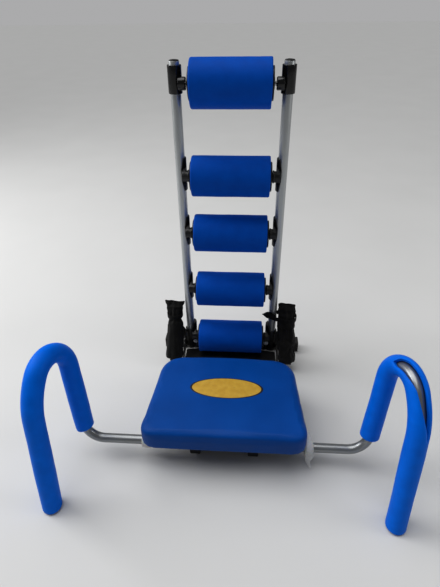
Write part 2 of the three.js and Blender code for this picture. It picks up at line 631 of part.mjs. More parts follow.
function addSprings() {
  const length = Math.hypot(SPRING_UPPER[0] - SPRING_LOWER[0], SPRING_UPPER[1] - SPRING_LOWER[1]);
  const cloth = 2.2;
  const profile = [[24, 0], [19.5, 0.3], [17, 0.6], [16.5, 0.8], [22, 1]];
  const outside = profile.map(([radius, share]) => [radius, share * length]);
  const inside = profile.map(([radius, share]) => [radius - cloth, share * length]).reverse();
  const besideEar = box([UPRIGHT_X, PIN_Y - 30, 0], [OUTER_EAR_X + EAR_THICKNESS + 2 * FIT_GAP, 0, HINGE_Z + 20]);
  const cover = cut(onSpringLine(turned([...outside, ...inside], 14)), springArm(0.6), besideEar);
  const coil = onSpringLine(springCoil(3, 60));
  for (const [name, side] of SIDES) {
    add(`spring_cover_${name}`, onSide(cover, side), coverCloth);
    add(`resistance_spring_${name}`, onSide(coil, side), springSteel);
  }

  const share = (STRAP_Z - SPRING_LOWER[1]) / (SPRING_UPPER[1] - SPRING_LOWER[1]);
  const coverY = SPRING_LOWER[0] + share * (SPRING_UPPER[0] - SPRING_LOWER[0]);
  const strapHeight = 12;
  const strapThickness = 1.6;
  const ring = (inner, loop) => {
    const shape = new THREE.Shape(loop(inner + strapThickness));
    shape.holes.push(new THREE.Path(loop(inner)));
    return new THREE.ExtrudeGeometry(shape, { depth: strapHeight, bevelEnabled: false });
  };
  const coverRadius = 23;
  const tubeRadius = UPRIGHT_RADIUS + 0.6;
  const roundLoop = (radius) => ringShape(coverRadius + radius, 0, 16).getPoints()
    .map((point) => new THREE.Vector2(point.x - SPRING_X, point.y + coverY));
  const longLoop = (radius) => loopOutline([
    { x: SPRING_X, y: coverY, r: coverRadius + radius },
    { x: UPRIGHT_X, y: 0, r: tubeRadius + radius },
  ]);
  const base = [0, 0, STRAP_Z - strapHeight / 2];
  add('cover_strap_left', ring(0, roundLoop), coverCloth, base);
  add('cover_strap_right', ring(0, longLoop), coverCloth, base);
}

addFloorFrame();
addHinges();
addSeat();
addHandles();
addUprights();
addRollers();
addHeadrest();
addSprings();

// Centre the bench on its bounding box, standing on z = 0.
const bounds = new THREE.Box3().setFromObject(bench);
const middle = bounds.getCenter(new THREE.Vector3());
bench.position.set(-middle.x, -middle.y, -bounds.min.z);

export default bench;
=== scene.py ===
from math import acos, atan2, cos, exp, hypot, pi, radians, sin, tan

import bmesh
import bpy
from mathutils import Matrix, Quaternion, Vector, geometry, noise
from mathutils.bvhtree import BVHTree


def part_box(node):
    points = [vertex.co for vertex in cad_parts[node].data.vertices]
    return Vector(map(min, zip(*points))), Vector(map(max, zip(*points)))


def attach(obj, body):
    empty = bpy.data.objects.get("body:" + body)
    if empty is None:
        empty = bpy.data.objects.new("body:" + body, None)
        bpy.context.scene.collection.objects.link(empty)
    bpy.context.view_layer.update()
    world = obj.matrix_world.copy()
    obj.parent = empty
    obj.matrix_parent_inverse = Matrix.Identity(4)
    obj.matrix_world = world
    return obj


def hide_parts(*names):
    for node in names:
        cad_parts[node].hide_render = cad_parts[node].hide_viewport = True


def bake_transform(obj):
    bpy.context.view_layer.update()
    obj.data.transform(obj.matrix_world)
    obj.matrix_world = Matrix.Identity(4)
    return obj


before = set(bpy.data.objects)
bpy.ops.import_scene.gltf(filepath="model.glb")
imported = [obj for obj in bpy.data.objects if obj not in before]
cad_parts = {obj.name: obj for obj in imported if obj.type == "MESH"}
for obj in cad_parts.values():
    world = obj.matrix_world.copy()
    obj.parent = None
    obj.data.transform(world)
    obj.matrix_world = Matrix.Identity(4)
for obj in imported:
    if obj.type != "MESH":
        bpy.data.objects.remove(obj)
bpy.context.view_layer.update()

# A floor-standing sit-up chair with a sprung back of foam rollers, drawn round its CAD frame.
# Shapes are worked out in millimetres, with y = 0 at the uprights, and become metres in Solid.piece.
MM = 0.001
SIDES = (("left", -1), ("right", 1))


def box_mm(node):
    low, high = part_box(node)
    return low / MM, high / MM


def middle_z(node):
    low, high = box_mm(node)
    return (low.z + high.z) / 2


UPRIGHT_LOW, UPRIGHT_HIGH = box_mm("upright_right")
ORIGIN_Y = (UPRIGHT_LOW.y + UPRIGHT_HIGH.y) / 2

# ---------------------------------------------------------------- driving dimensions
UPRIGHT_X = (UPRIGHT_LOW.x + UPRIGHT_HIGH.x) / 2
UPRIGHT_RADIUS = (UPRIGHT_HIGH.x - UPRIGHT_LOW.x) / 2
UPRIGHT_BOTTOM, UPRIGHT_TOP = UPRIGHT_LOW.z, UPRIGHT_HIGH.z
TUBE_WALL = 1.5
SOCKET_RADIUS = 13
SOCKET_TOP = 88
HINGE_Z = 40
PIVOT_RADIUS = 4
EAR_THICKNESS = 4
INNER_EAR = UPRIGHT_X - SOCKET_RADIUS - 1 - EAR_THICKNESS
OUTER_EAR = UPRIGHT_X + SOCKET_RADIUS + 1

ROLLER_Y = -14
ROLLER_HEIGHTS = [middle_z(f"roller_pad_{n}") for n in (1, 2, 3, 4)]
ROLLER_RADIUS = 40.4
ROLLER_HALF = 79
HEAD_LOW, HEAD_HIGH = box_mm("headrest_pad")
HEAD_Z = middle_z("headrest_pad")
HEAD_RADIUS = (HEAD_HIGH.z - HEAD_LOW.z) / 2
HEAD_HALF = 74
AXLE_RADIUS = 4
DISC_RADIUS = 29
DISC_OUTSIDE = 2.6
HUB_TIP = 4.0
HUB_RADIUS = 11
SLEEVE_BOTTOM, SLEEVE_TOP = (corner.z for corner in box_mm("headrest_sleeve_right"))

FRAME_TUBE = 26
FRAME_WALL = 2
CROSSBAR_Y = 32
CROSSBAR_Z = 15
CROSSBAR_HALF = 176
RAIL_X = 60
RAIL_SIZE = 22
RAIL_TOP = 28
RAIL_FRONT = -314
RAIL_END = CROSSBAR_Y - FRAME_TUBE / 2 - 0.3
FRONT_TUBE_Y = -313
FRONT_TUBE_Z = 41.3
FRONT_TUBE_HALF = 150
REAR_TUBE_Y = -178
REAR_TUBE_HALF = 92

SEAT_TOP = 113
SEAT_FRONT, SEAT_REAR = -352, -128
SEAT_MIDDLE = (SEAT_FRONT + SEAT_REAR) / 2
SEAT_FRONT_HALF, SEAT_REAR_HALF = 163, 150
BOARD_BOTTOM, BOARD_TOP = 54.6, 63.6
BOARD_INSET = 13
BADGE_X, BADGE_Y = 1, -229
BADGE_HALF_WIDTH, BADGE_HALF_DEPTH = 77, 28.5

HANDLE_RADIUS = 9.5
HANDLE_X = 283.5
HANDLE_CORNERS = [
    (70, FRONT_TUBE_Y, FRONT_TUBE_Z),
    (HANDLE_X, FRONT_TUBE_Y, FRONT_TUBE_Z),
    (308, -262, 351),
    (325, -390, 231),
    (318, -442, 5.5),
]
HANDLE_BENDS = [0, 40, 47, 135, 0]
BEND_STEPS = 18
FOAM_START = {-1: BEND_STEPS * 5 // 6, 1: BEND_STEPS}
FOAM_END_Z = 2
FOAM_RADIUS = 18.5
FOAM_BORE = 9.9
FOOT_RADIUS = 9.3
# The split in the right grip: (distance along the tube, half its angle, its turn towards the seat).
SPLIT = [(436, 0, 72), (442, 26, 64), (455, 36, 48), (474, 37, 30), (494, 30, -1), (515, 24, -12),
         (535, 19, -26), (557, 8, -37), (572, 0, -40)]
COLLAR_RADIUS = 16
COLLAR_LENGTH = 17
RIGHT_COLLAR_SLIP = 12
SCREW_X = 128

SPRING_X = 140
SPRING_LOW = Vector((SPRING_X, -48, 29))
SPRING_HIGH = Vector((SPRING_X, 6, 165))
PIN_Y, PIN_Z = -51, 22
ARM_Y, ARM_Z = -14, 105
STRAP_Z = 135
STRAP_HALF, STRAP_THICKNESS = 6.0, 1.3
STRAP_SHARE = (STRAP_Z - SPRING_LOW.z) / (SPRING_HIGH.z - SPRING_LOW.z)

UP = Vector((0, 0, 1))
ORIGIN = Vector((0, ORIGIN_Y, 0))
ALONG_X = Matrix.Rotation(pi / 2, 4, "Y")
ALONG_Y = Matrix.Rotation(-pi / 2, 4, "X")
scene = bpy.context.scene


# ---------------------------------------------------------------- materials
class Look:
    """A node material being made. Its coordinates are the piece's own, in millimetres."""

    def __init__(self, name, constants=None):
        self.material = bpy.data.materials.new(name)
        self.material.use_nodes = True
        self.shader = self.material.node_tree.nodes["Principled BSDF"]
        for socket, value in (constants or {}).items():
            self.shader.inputs[socket].default_value = value
        place = self.node("ShaderNodeVectorMath", operation="SCALE")
        place.inputs["Scale"].default_value = 1 / MM
        self.wire(self.node("ShaderNodeTexCoord").outputs["Object"], place.inputs[0])
        self.place = place.outputs[0]

    def node(self, kind, **settings):
        made = self.material.node_tree.nodes.new(kind)
        for key, value in settings.items():
            setattr(made, key, value)
        return made

    def wire(self, output, socket):
        self.material.node_tree.links.new(output, socket)

    def feed(self, socket, value):
        if hasattr(value, "links"):
            self.wire(value, socket)
        else:
            socket.default_value = value

    def stretched(self, stretch):
        scale = self.node("ShaderNodeVectorMath", operation="MULTIPLY")
        self.wire(self.place, scale.inputs[0])
        scale.inputs[1].default_value = stretch
        return scale.outputs[0]

    def texture(self, kind, scale, stretch=None, **settings):
        made = self.node(kind, **settings)
        self.wire(self.stretched(stretch) if stretch else self.place, made.inputs["Vector"])
        made.inputs["Scale"].default_value = scale
        return made

    def noise(self, scale, detail=3.0, stretch=None, distortion=0.0):
        made = self.texture("ShaderNodeTexNoise", scale, stretch)
        made.inputs["Detail"].default_value = detail
        made.inputs["Distortion"].default_value = distortion
        return made.outputs["Fac"]

    def cells(self, scale, feature="F1"):
        return self.texture("ShaderNodeTexVoronoi", scale, feature=feature).outputs["Distance"]

    def waves(self, scale, direction, distortion=0.0):
        made = self.texture("ShaderNodeTexWave", scale, bands_direction=direction)
        made.inputs["Distortion"].default_value = distortion
        return made.outputs["Fac"]

    def span(self, value, low, high, to_low=0.0, to_high=1.0):
        made = self.node("ShaderNodeMapRange")
        sockets = ("Value", "From Min", "From Max", "To Min", "To Max")
        for socket, each in zip(sockets, (value, low, high, to_low, to_high)):
            self.feed(made.inputs[socket], each)
        return made.outputs["Result"]

    def sum(self, a, b, operation="ADD"):
        made = self.node("ShaderNodeMath", operation=operation)
        self.feed(made.inputs[0], a)
        self.feed(made.inputs[1], b)
        return made.outputs[0]

    def blend(self, factor, first, second):
        made = self.node("ShaderNodeMix", data_type="RGBA")
        self.feed(made.inputs["Factor"], factor)
        self.feed(made.inputs[6], first)
        self.feed(made.inputs[7], second)
        return made.outputs[2]

    def colour(self, factor, first, second):
        self.wire(self.blend(factor, first, second), self.shader.inputs["Base Color"])

    def rough(self, value):
        self.feed(self.shader.inputs["Roughness"], value)

    def bump(self, *layers):
        """Layers of (height, depth in millimetres), each bump laid over the one before."""
        last = None
        for height, depth in layers:
            made = self.node("ShaderNodeBump")
            made.inputs["Strength"].default_value = 1.0
            made.inputs["Distance"].default_value = depth * MM
            self.wire(height, made.inputs["Height"])
            if last:
                self.wire(last, made.inputs["Normal"])
            last = made.outputs["Normal"]
        self.wire(last, self.shader.inputs["Normal"])


def rgb(red, green, blue):
    return (red, green, blue, 1.0)


def silver_look(name, deep, bright):
    look = Look(name, {"Metallic": 0.75, "Coat Weight": 0.25, "Coat Roughness": 0.2})
    flake = look.cells(3.0)
    haze = look.noise(0.02, 4.0)
    scratch = look.span(look.noise(0.5, 2.0, stretch=(6, 6, 0.12)), 0.66, 0.72)
    tone = look.blend(haze, deep, bright)
    look.colour(look.span(flake, 0.0, 0.8, 0.0, 0.18), tone, rgb(0.68, 0.69, 0.70))
    look.rough(look.sum(look.span(haze, 0.3, 0.7, 0.32, 0.42), look.span(scratch, 0, 1, 0, 0.12)))
    look.bump((flake, 0.008), (scratch, -0.02), (look.noise(0.25, 3.0), 0.05))
    return look.material


def black_coat_look():
    look = Look("black_powder_coat", {"Specular IOR Level": 0.5})
    peel = look.cells(0.9, "SMOOTH_F1")
    dust = look.span(look.noise(0.05, 6.0), 0.5, 0.75)
    scuff = look.span(look.noise(0.7, 5.0, stretch=(1, 0.25, 1)), 0.64, 0.72)
    tone = look.blend(dust, rgb(0.009, 0.009, 0.010), rgb(0.021, 0.020, 0.019))
    look.colour(scuff, tone, rgb(0.05, 0.05, 0.052))
    look.rough(look.span(dust, 0, 1, 0.38, 0.55))
    look.bump((peel, 0.12), (scuff, -0.03))
    return look.material


def black_plastic_look(name, roughness, grain):
    look = Look(name, {"Specular IOR Level": 0.5})
    dust = look.span(look.noise(0.08, 5.0), 0.45, 0.8)
    look.colour(dust, rgb(0.006, 0.006, 0.007), rgb(0.014, 0.014, 0.014))
    look.rough(look.span(dust, 0, 1, roughness, roughness + 0.15))
    look.bump((look.noise(3.2, 3.0), grain), (look.noise(0.12, 2.0), 0.12))
    return look.material


def zinc_look(name, metallic):
    look = Look(name, {"Metallic": metallic})
    spangle = look.noise(0.35, 5.0)
    turned = look.noise(1.5, 2.0, stretch=(8, 1, 1))
    look.colour(spangle, rgb(0.62, 0.63, 0.64), rgb(0.80, 0.80, 0.79))
    look.rough(look.span(turned, 0.3, 0.7, 0.16, 0.34))
    look.bump((turned, 0.02))
    return look.material


def spring_look():
    look = Look("spring_steel", {"Metallic": 0.95})
    oil = look.noise(0.3, 4.0)
    look.colour(oil, rgb(0.08, 0.08, 0.085), rgb(0.19, 0.19, 0.20))
    look.rough(look.span(oil, 0.3, 0.7, 0.22, 0.42))
    look.bump((look.noise(2.0, 3.0), 0.03))
    return look.material


def rubber_look():
    look = Look("black_rubber", {"Specular IOR Level": 0.35})
    bloom = look.noise(0.12, 6.0)
    look.colour(bloom, rgb(0.010, 0.010, 0.010), rgb(0.030, 0.029, 0.028))
    look.rough(look.span(bloom, 0.3, 0.7, 0.6, 0.85))
    look.bump((look.noise(2.5, 4.0), 0.06))
    return look.material


def nylon_look():
    look = Look("natural_nylon", {"Subsurface Weight": 0.25, "Subsurface Scale": 0.003})
    cloud = look.noise(0.12, 4.0)
    look.colour(cloud, rgb(0.52, 0.52, 0.49), rgb(0.68, 0.68, 0.65))
    look.rough(look.span(cloud, 0.3, 0.7, 0.35, 0.5))
    look.bump((look.noise(1.2, 3.0), 0.04))
    return look.material


def foam_look(name, deep, bright, roughness, cell):
    """Closed-cell foam with a moulded skin: fine cells under it, faint mottling, and a few handling marks."""
    look = Look(name, {"Specular IOR Level": 0.07})
    mottle = look.noise(0.05, 5.0)
    pore = look.cells(cell)
    mark = look.span(look.noise(0.22, 6.0, distortion=1.5), 0.66, 0.74)
    tone = look.blend(look.span(mottle, 0.3, 0.7), deep, bright)
    look.colour(look.span(mark, 0, 1, 0, 0.12), tone, rgb(0.006, 0.16, 0.55))
    skin = look.span(mottle, 0.3, 0.7, roughness, roughness + 0.08)
    look.rough(look.sum(skin, look.span(pore, 0, 1, 0, 0.08)))
    look.bump((pore, 0.05), (look.noise(0.35, 3.0), 0.10), (mark, -0.06))
    return look.material


def vinyl_look():
    look = Look("seat_vinyl", {"Specular IOR Level": 0.14})
    grain = look.cells(0.75, "DISTANCE_TO_EDGE")
    fine = look.noise(1.6, 4.0)
    wear = look.noise(0.012, 4.0)
    rub = look.span(look.noise(0.15, 6.0, distortion=1.0), 0.62, 0.78)
    tone = look.blend(look.span(wear, 0.35, 0.65), rgb(0.0, 0.058, 0.27), rgb(0.0, 0.068, 0.31))
    look.colour(look.span(rub, 0, 1, 0, 0.16), tone, rgb(0.004, 0.11, 0.40))
    look.rough(look.sum(look.span(wear, 0.3, 0.7, 0.34, 0.44), look.span(fine, 0.3, 0.7, -0.03, 0.03)))
    look.bump((look.span(grain, 0.0, 0.25), 0.07), (fine, 0.03), (look.noise(0.06, 3.0), 0.25))
    return look.material


def badge_look():
    """A printed oval: yellow, with a thin black rim, and the blue showing through where it's rubbed."""
    look = Look("badge_print", {"Specular IOR Level": 0.5})
    split = look.node("ShaderNodeSeparateXYZ")
    look.wire(look.place, split.inputs[0])
    across = look.span(split.outputs["X"], BADGE_X - BADGE_HALF_WIDTH, BADGE_X + BADGE_HALF_WIDTH, -1, 1)
    middle = BADGE_Y + ORIGIN_Y
    along = look.span(split.outputs["Y"], middle - BADGE_HALF_DEPTH, middle + BADGE_HALF_DEPTH, -1, 1)
    square = look.sum(look.sum(across, 2, "POWER"), look.sum(along, 2, "POWER"))
    rim = look.span(square, 0.885, 0.905)
    mottle = look.noise(0.09, 6.0)
    yellow = look.blend(look.span(mottle, 0.3, 0.7), rgb(0.47, 0.28, 0.030), rgb(0.55, 0.35, 0.045))
    rubbed = look.span(look.noise(0.35, 8.0, stretch=(0.5, 1.6, 1), distortion=2.0), 0.64, 0.70)
    worn = look.blend(rubbed, yellow, rgb(0.24, 0.19, 0.07))
    look.colour(rim, worn, rgb(0.008, 0.009, 0.014))
    look.rough(look.span(mottle, 0.3, 0.7, 0.36, 0.5))
    look.bump((look.cells(0.75, "DISTANCE_TO_EDGE"), 0.04), (rubbed, -0.04))
    return look.material


def cloth_look(name, deep, bright, pitch):
    """Plain weave: one set of threads along the piece and one across it."""
    look = Look(name, {"Sheen Weight": 0.06, "Sheen Roughness": 0.5, "Specular IOR Level": 0.15})
    warp = look.waves(pitch, "Z", 0.3)
    weft = look.waves(pitch, "X", 0.3)
    fluff = look.noise(0.5, 6.0)
    dust = look.span(look.noise(0.06, 5.0), 0.45, 0.75)
    weave = look.sum(warp, weft, "MULTIPLY")
    pale = look.sum(look.span(weave, 0, 1, 0, 0.5), look.span(dust, 0, 1, 0, 0.4))
    look.colour(pale, deep, bright)
    look.rough(look.span(fluff, 0.3, 0.7, 0.75, 0.95))
    look.bump((weave, 0.18), (fluff, 0.10))
    return look.material


def plywood_look():
    look = Look("plywood", {"Specular IOR Level": 0.3})
    plies = look.waves(0.11, "Z")
    grain = look.noise(0.12, 6.0, stretch=(0.15, 2.5, 2.5))
    tone = look.blend(look.span(plies, 0.35, 0.65), rgb(0.17, 0.095, 0.045), rgb(0.36, 0.24, 0.13))
    look.colour(look.span(grain, 0.35, 0.65, 0, 0.55), tone, rgb(0.22, 0.13, 0.065))
    look.rough(look.span(grain, 0.3, 0.7, 0.62, 0.8))
    look.bump((grain, 0.15), (plies, 0.08))
    return look.material


def film_look():
    look = Look("clear_film", {"Alpha": 0.5, "Specular IOR Level": 0.6})
    crease = look.noise(0.25, 4.0, distortion=1.0)
    look.colour(crease, rgb(0.72, 0.73, 0.73), rgb(0.88, 0.88, 0.88))
    look.rough(look.span(crease, 0.3, 0.7, 0.18, 0.35))
    look.bump((crease, 0.25))
    return look.material


def floor_look():
    look = Look("studio_floor", {"Specular IOR Level": 0.2})
    tone = look.noise(0.004, 3.0)
    look.colour(tone, rgb(0.60, 0.60, 0.595), rgb(0.64, 0.64, 0.635))
    look.rough(look.span(tone, 0.3, 0.7, 0.8, 0.9))
    return look.material


# A finish is a material and the record's slot that it belongs to.
SILVER = (silver_look("silver_coat", rgb(0.36, 0.38, 0.385), rgb(0.46, 0.48, 0.485)), "tube_silver")
# The handle bars carry the same silver coat as the uprights; this darker copy of it is painted shade.
SHADED_SILVER = (silver_look("shaded_silver_coat", rgb(0.20, 0.21, 0.215), rgb(0.27, 0.28, 0.285)), "tube_silver")
BLACK_COAT = (black_coat_look(), "frame_black")
GLOSS_BLACK = (black_plastic_look("gloss_black_plastic", 0.14, 0.004), "plastic_black")
SATIN_BLACK = (black_plastic_look("satin_black_plastic", 0.36, 0.03), "plastic_black")
ZINC = (zinc_look("bright_zinc", 1.0), "zinc_hardware")
DULL_ZINC = (zinc_look("dull_zinc", 0.25), "zinc_hardware")
SPRING_STEEL = (spring_look(), "spring_steel")
RUBBER = (rubber_look(), "rubber_black")
NYLON = (nylon_look(), "nylon_pale")
ROLLER_FOAM = (
    foam_look("roller_foam_skin", rgb(0.0, 0.078, 0.43), rgb(0.0, 0.090, 0.48), 0.48, 1.1), "roller_foam")
GRIP_FOAM = (
    foam_look("grip_foam_skin", rgb(0.0, 0.140, 0.66), rgb(0.0, 0.160, 0.74), 0.36, 0.9), "handle_foam")
VINYL = (vinyl_look(), "seat_vinyl")
BADGE = (badge_look(), "seat_vinyl")
THREAD = rgb(0.005, 0.005, 0.005)
COVER_CLOTH = (cloth_look("cover_cloth", THREAD, rgb(0.020, 0.019, 0.018), 0.55), "cover_cloth")
WEBBING = (cloth_look("strap_webbing", THREAD, rgb(0.016, 0.016, 0.016), 0.35), "cover_cloth")
PLYWOOD = (plywood_look(), "plywood")
FILM = (film_look(), "nylon_pale")


# ---------------------------------------------------------------- mesh tools
def circle(radius, height=0.0, sides=48):
    turns = [2 * pi * k / sides for k in range(sides)]
    return [(radius * cos(a), radius * sin(a), height) for a in turns]


def fillet(corners, radius, steps=4, closed=False):
    """The line through the corners with each one rounded off, by one radius or by one for each corner."""
    corners = [Vector(corner).to_3d() for corner in corners]
    count = len(corners)
    radii = radius if hasattr(radius, "__len__") else [radius] * count
    route = []
    for i, corner in enumerate(corners):
        if radii[i] <= 0 or (not closed and i in (0, count - 1)):
            route.append(corner)
            continue
        back, ahead = corners[i - 1] - corner, corners[(i + 1) % count] - corner
        half = back.angle(ahead) / 2
        room = 0.48 if closed else 0.98
        reach = min(radii[i] / tan(half), room * back.length, room * ahead.length)
        back.normalize()
        ahead.normalize()
        centre = corner + (back + ahead).normalized() * (reach / cos(half))
        first, last = corner + back * reach - centre, corner + ahead * reach - centre
        turn = pi - 2 * half
        for k in range(steps + 1):
            t = k / steps
            spoke = first * sin((1 - t) * turn) + last * sin(t * turn)
            route.append(centre + spoke / sin(turn))
    return route


def rounded_square(size, corner):
    half = size / 2
    return fillet([(half, -half), (half, half), (-half, half), (-half, -half)], corner, closed=True)


def turned(profile, sides=48):
    """Rings of a turned shape about Z; the profile is (radius, height) corners, or rounded points."""
    return [circle(max(point[0], 0.0), point[1], sides) for point in profile]


def moved(x, y, z):
    return Matrix.Translation((x, y, z))


def mirror(side):
    """Flips a shape built for the right side over to the left one; side is 1 or -1."""
    return Matrix.Scale(side, 4, (1, 0, 0))


def eased(profile, radius, steps=3):
    return fillet(profile, radius, steps)


def eased_ring(profile, radius, steps=3):
    return fillet(profile, radius, steps, closed=True)


def pipe(inner, outer, low, high, edge=0.5, sides=48, steps=3):
    """Rings of a straight round tube along Z with eased edges."""
    return turned(eased_ring([(inner, low), (outer, low), (outer, high), (inner, high)], edge, steps), sides)


def bar(outline, hole, start, end):
    """Rings of a straight hollow bar along Z with eased ends."""
    def ring(loop, shrink, height):
        size = max(abs(value) for point in loop for value in point[:2])
        scale = (size - shrink) / size
        return [(point[0] * scale, point[1] * scale, height) for point in loop]
    edge = 0.5
    return [ring(outline, edge, start), ring(outline, 0, start + edge), ring(outline, 0, end - edge),
            ring(outline, edge, end), ring(hole, 0, end), ring(hole, 0, start)]


def travel_frames(route):
    """A (point, across, up) frame at each point of a route, carried along it without twist."""
    tangents = []
    for i, point in enumerate(route):
        ahead = route[min(i + 1, len(route) - 1)] - point
        behind = point - route[max(i - 1, 0)]
        tangents.append((ahead.normalized() + behind.normalized()).normalized())
    up = tangents[0].orthogonal().normalized()
    frames = []
    for i, (point, tangent) in enumerate(zip(route, tangents)):
        if i:
            up = tangents[i - 1].rotation_difference(tangent) @ up
        up = (up - tangent * up.dot(tangent)).normalized()
        frames.append((point, tangent.cross(up), up))
    return frames


def swept(route, outline):
    """Rings of a section carried along a route; outline is the loop, or a function of the index."""
    rings = []
    for i, (point, across, up) in enumerate(travel_frames(route)):
        loop = outline(i) if callable(outline) else outline
        rings.append([point + across * p[0] + up * p[1] for p in loop])
    return rings


def resampled(route, step):
    """The same route with points an even step apart."""
    lengths = [0.0]
    for a, b in zip(route, route[1:]):
        lengths.append(lengths[-1] + (b - a).length)
    count = max(2, round(lengths[-1] / step))
    result, j = [], 0
    for k in range(count + 1):
        target = lengths[-1] * k / count
        while j < len(route) - 2 and lengths[j + 1] < target:
            j += 1
        share = (target - lengths[j]) / max(lengths[j + 1] - lengths[j], 1e-9)
        result.append(route[j].lerp(route[j + 1], min(max(share, 0), 1)))
    return result


def mirrored(points, side):
    return [Vector((side * p[0], p[1], p[2])) for p in points]


def shade_smooth(mesh):
    mesh.polygons.foreach_set("use_smooth", [True] * len(mesh.polygons))


class Solid:
    """Closed shapes gathered in millimetres, which become one piece."""

    def __init__(self):
        self.points, self.faces = [], []

    def skin(self, rings, wrap=False, place=Matrix()):
        """Joins rings of equally many points. The two ends are capped unless the rows wrap round."""
        start, columns, rows = len(self.points), len(rings[0]), len(rings)
        for ring in rings:
            self.points.extend(place @ Vector(point) for point in ring)
        for r in range(rows if wrap else rows - 1):
            a, b = start + r * columns, start + ((r + 1) % rows) * columns
            for c in range(columns):
                d = (c + 1) % columns
                self.faces.append((a + c, a + d, b + d, b + c))
        if not wrap:
            self.faces.append(tuple(start + c for c in reversed(range(columns))))
            self.faces.append(tuple(start + (rows - 1) * columns + c for c in range(columns)))
        return self

    def plate(self, outline, thickness, place=Matrix(), holes=()):
        """A flat plate in XY, from z = 0 to thickness, with holes through it."""
        loops = [[Vector(p).to_3d() for p in loop] for loop in (outline, *holes)]
        flat = [point for loop in loops for point in loop]
        start, count = len(self.points), len(flat)
        for height in (0, thickness):
            self.points.extend(place @ (point + Vector((0, 0, height))) for point in flat)
        for triangle in geometry.tessellate_polygon(loops):
            self.faces.append(tuple(start + i for i in triangle))
            self.faces.append(tuple(start + count + i for i in reversed(triangle)))
        first = 0
        for loop in loops:
            for i in range(len(loop)):
                a, b = start + first + i, start + first + (i + 1) % len(loop)
                self.faces.append((a, b, b + count, a + count))
            first += len(loop)
        return self

    def block(self, low, high, place=Matrix()):
        corners = [(low[0], low[1]), (high[0], low[1]), (high[0], high[1]), (low[0], high[1])]
        return self.skin([[(x, y, z) for x, y in corners] for z in (low[2], high[2])], place=place)

    def object(self, name, sharp=35):
        """The gathered shapes as a mesh object in metres, welded, with its faces pointing out."""
        mesh = bpy.data.meshes.new(name)
        mesh.from_pydata([tuple((point + ORIGIN) * MM) for point in self.points], [], self.faces)
        work = bmesh.new()
        work.from_mesh(mesh)
        bmesh.ops.remove_doubles(work, verts=work.verts, dist=0.002 * MM)
        bmesh.ops.recalc_face_normals(work, faces=work.faces)
        work.to_mesh(mesh)
        work.free()
        shade_smooth(mesh)
        mesh.set_sharp_from_angle(angle=radians(sharp))
        made = bpy.data.objects.new(name, mesh)
        scene.collection.objects.link(made)
        return made

    def piece(self, name, finish, body, replaces=(), bevel=0.0, sharp=35):
        made = self.object(name, sharp)
        if bevel:
            add_bevel(made, bevel)
        return settle(made, finish, body, replaces)


def add_bevel(piece, width):
    bevel = piece.modifiers.new("edges", "BEVEL")
    bevel.width = width * MM
    bevel.segments = 2
    bevel.limit_method = "ANGLE"
    bevel.angle_limit = radians(38)


def settle(piece, finish, body, replaces=()):
    """Gives a finished piece its material, its body and the CAD nodes that it stands for."""
    material, slot = finish
    piece.data.materials.clear()
    piece.data.materials.append(material)
    if body:
        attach(piece, body)
    if replaces:
        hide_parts(*replaces)
    return piece


def move_points(piece, shift):
    """Moves each point of a piece by shift(place, normal), all in millimetres."""
    mesh = piece.data
    moves = [shift(v.co / MM - ORIGIN, v.normal) for v in mesh.vertices]
    for vertex, move in zip(mesh.vertices, moves):
        vertex.co += move * MM
    mesh.update()


def ripple(place, size, seed=0.0):
    """Smooth noise from -1 to 1 with features about size millimetres across."""
    return noise.noise(place / size + Vector((seed, 1.7 * seed, -seed)))


def smoothstep(low, high, value):
    t = min(max((value - low) / (high - low), 0.0), 1.0)
    return t * t * (3 - 2 * t)


# ---------------------------------------------------------------- floor frame
def add_weld(solid, start, end):
    """A short run of weld: overlapping ripples from start to end."""
    radius = 1.9
    route = resampled([Vector(start), Vector(end)], 0.8)

    def section(i):
        swell = radius * (0.86 + 0.14 * abs(sin(i * 0.9)))
        fade = min(1.0, 0.45 + 0.3 * min(i, len(route) - 1 - i))
        return circle(swell * fade, sides=10)
    solid.skin(swept(route, section))


def add_floor_frame():
    add_rear_crossbar()
    for name, side in SIDES:
        add_rail(name, side)
        add_crossbar_cap(name, side)
    add_cross_tubes()
    add_frame_welds()
    add_shade_brace()


def add_rear_crossbar():
    outside = rounded_square(FRAME_TUBE, 3)
    hollow = rounded_square(FRAME_TUBE - 2 * FRAME_WALL, 1.5)
    rings = bar(outside, hollow, -CROSSBAR_HALF, CROSSBAR_HALF)
    Solid().skin(rings, True, moved(0, CROSSBAR_Y, CROSSBAR_Z) @ ALONG_X).piece(
        "crossbar_tube", BLACK_COAT, "base", ["rear_crossbar"])


def add_rail(name, side):
    """A side rail, with a moulded plug in its front end."""
    outside = rounded_square(RAIL_SIZE, 2.5)
    hollow = rounded_square(RAIL_SIZE - 2 * FRAME_WALL, 1.2)
    middle = RAIL_TOP - RAIL_SIZE / 2
    rings = bar(outside, hollow, RAIL_FRONT, RAIL_END)
    Solid().skin(rings, True, moved(side * RAIL_X, 0, middle) @ ALONG_Y).piece(
        f"rail_tube_{name}", BLACK_COAT, "base", [f"side_rail_{name}"])
    shares = ((0.8, 14), (0.8, 0), (0.985, -0.1), (0.985, -1.4), (0.93, -2.3), (0.6, -3.0))
    plug = [[(x * share, y * share, z) for x, y, _ in outside] for share, z in shares]
    Solid().skin(plug, place=moved(side * RAIL_X, RAIL_FRONT, middle) @ ALONG_Y).piece(
        f"rail_plug_{name}", SATIN_BLACK, "base")


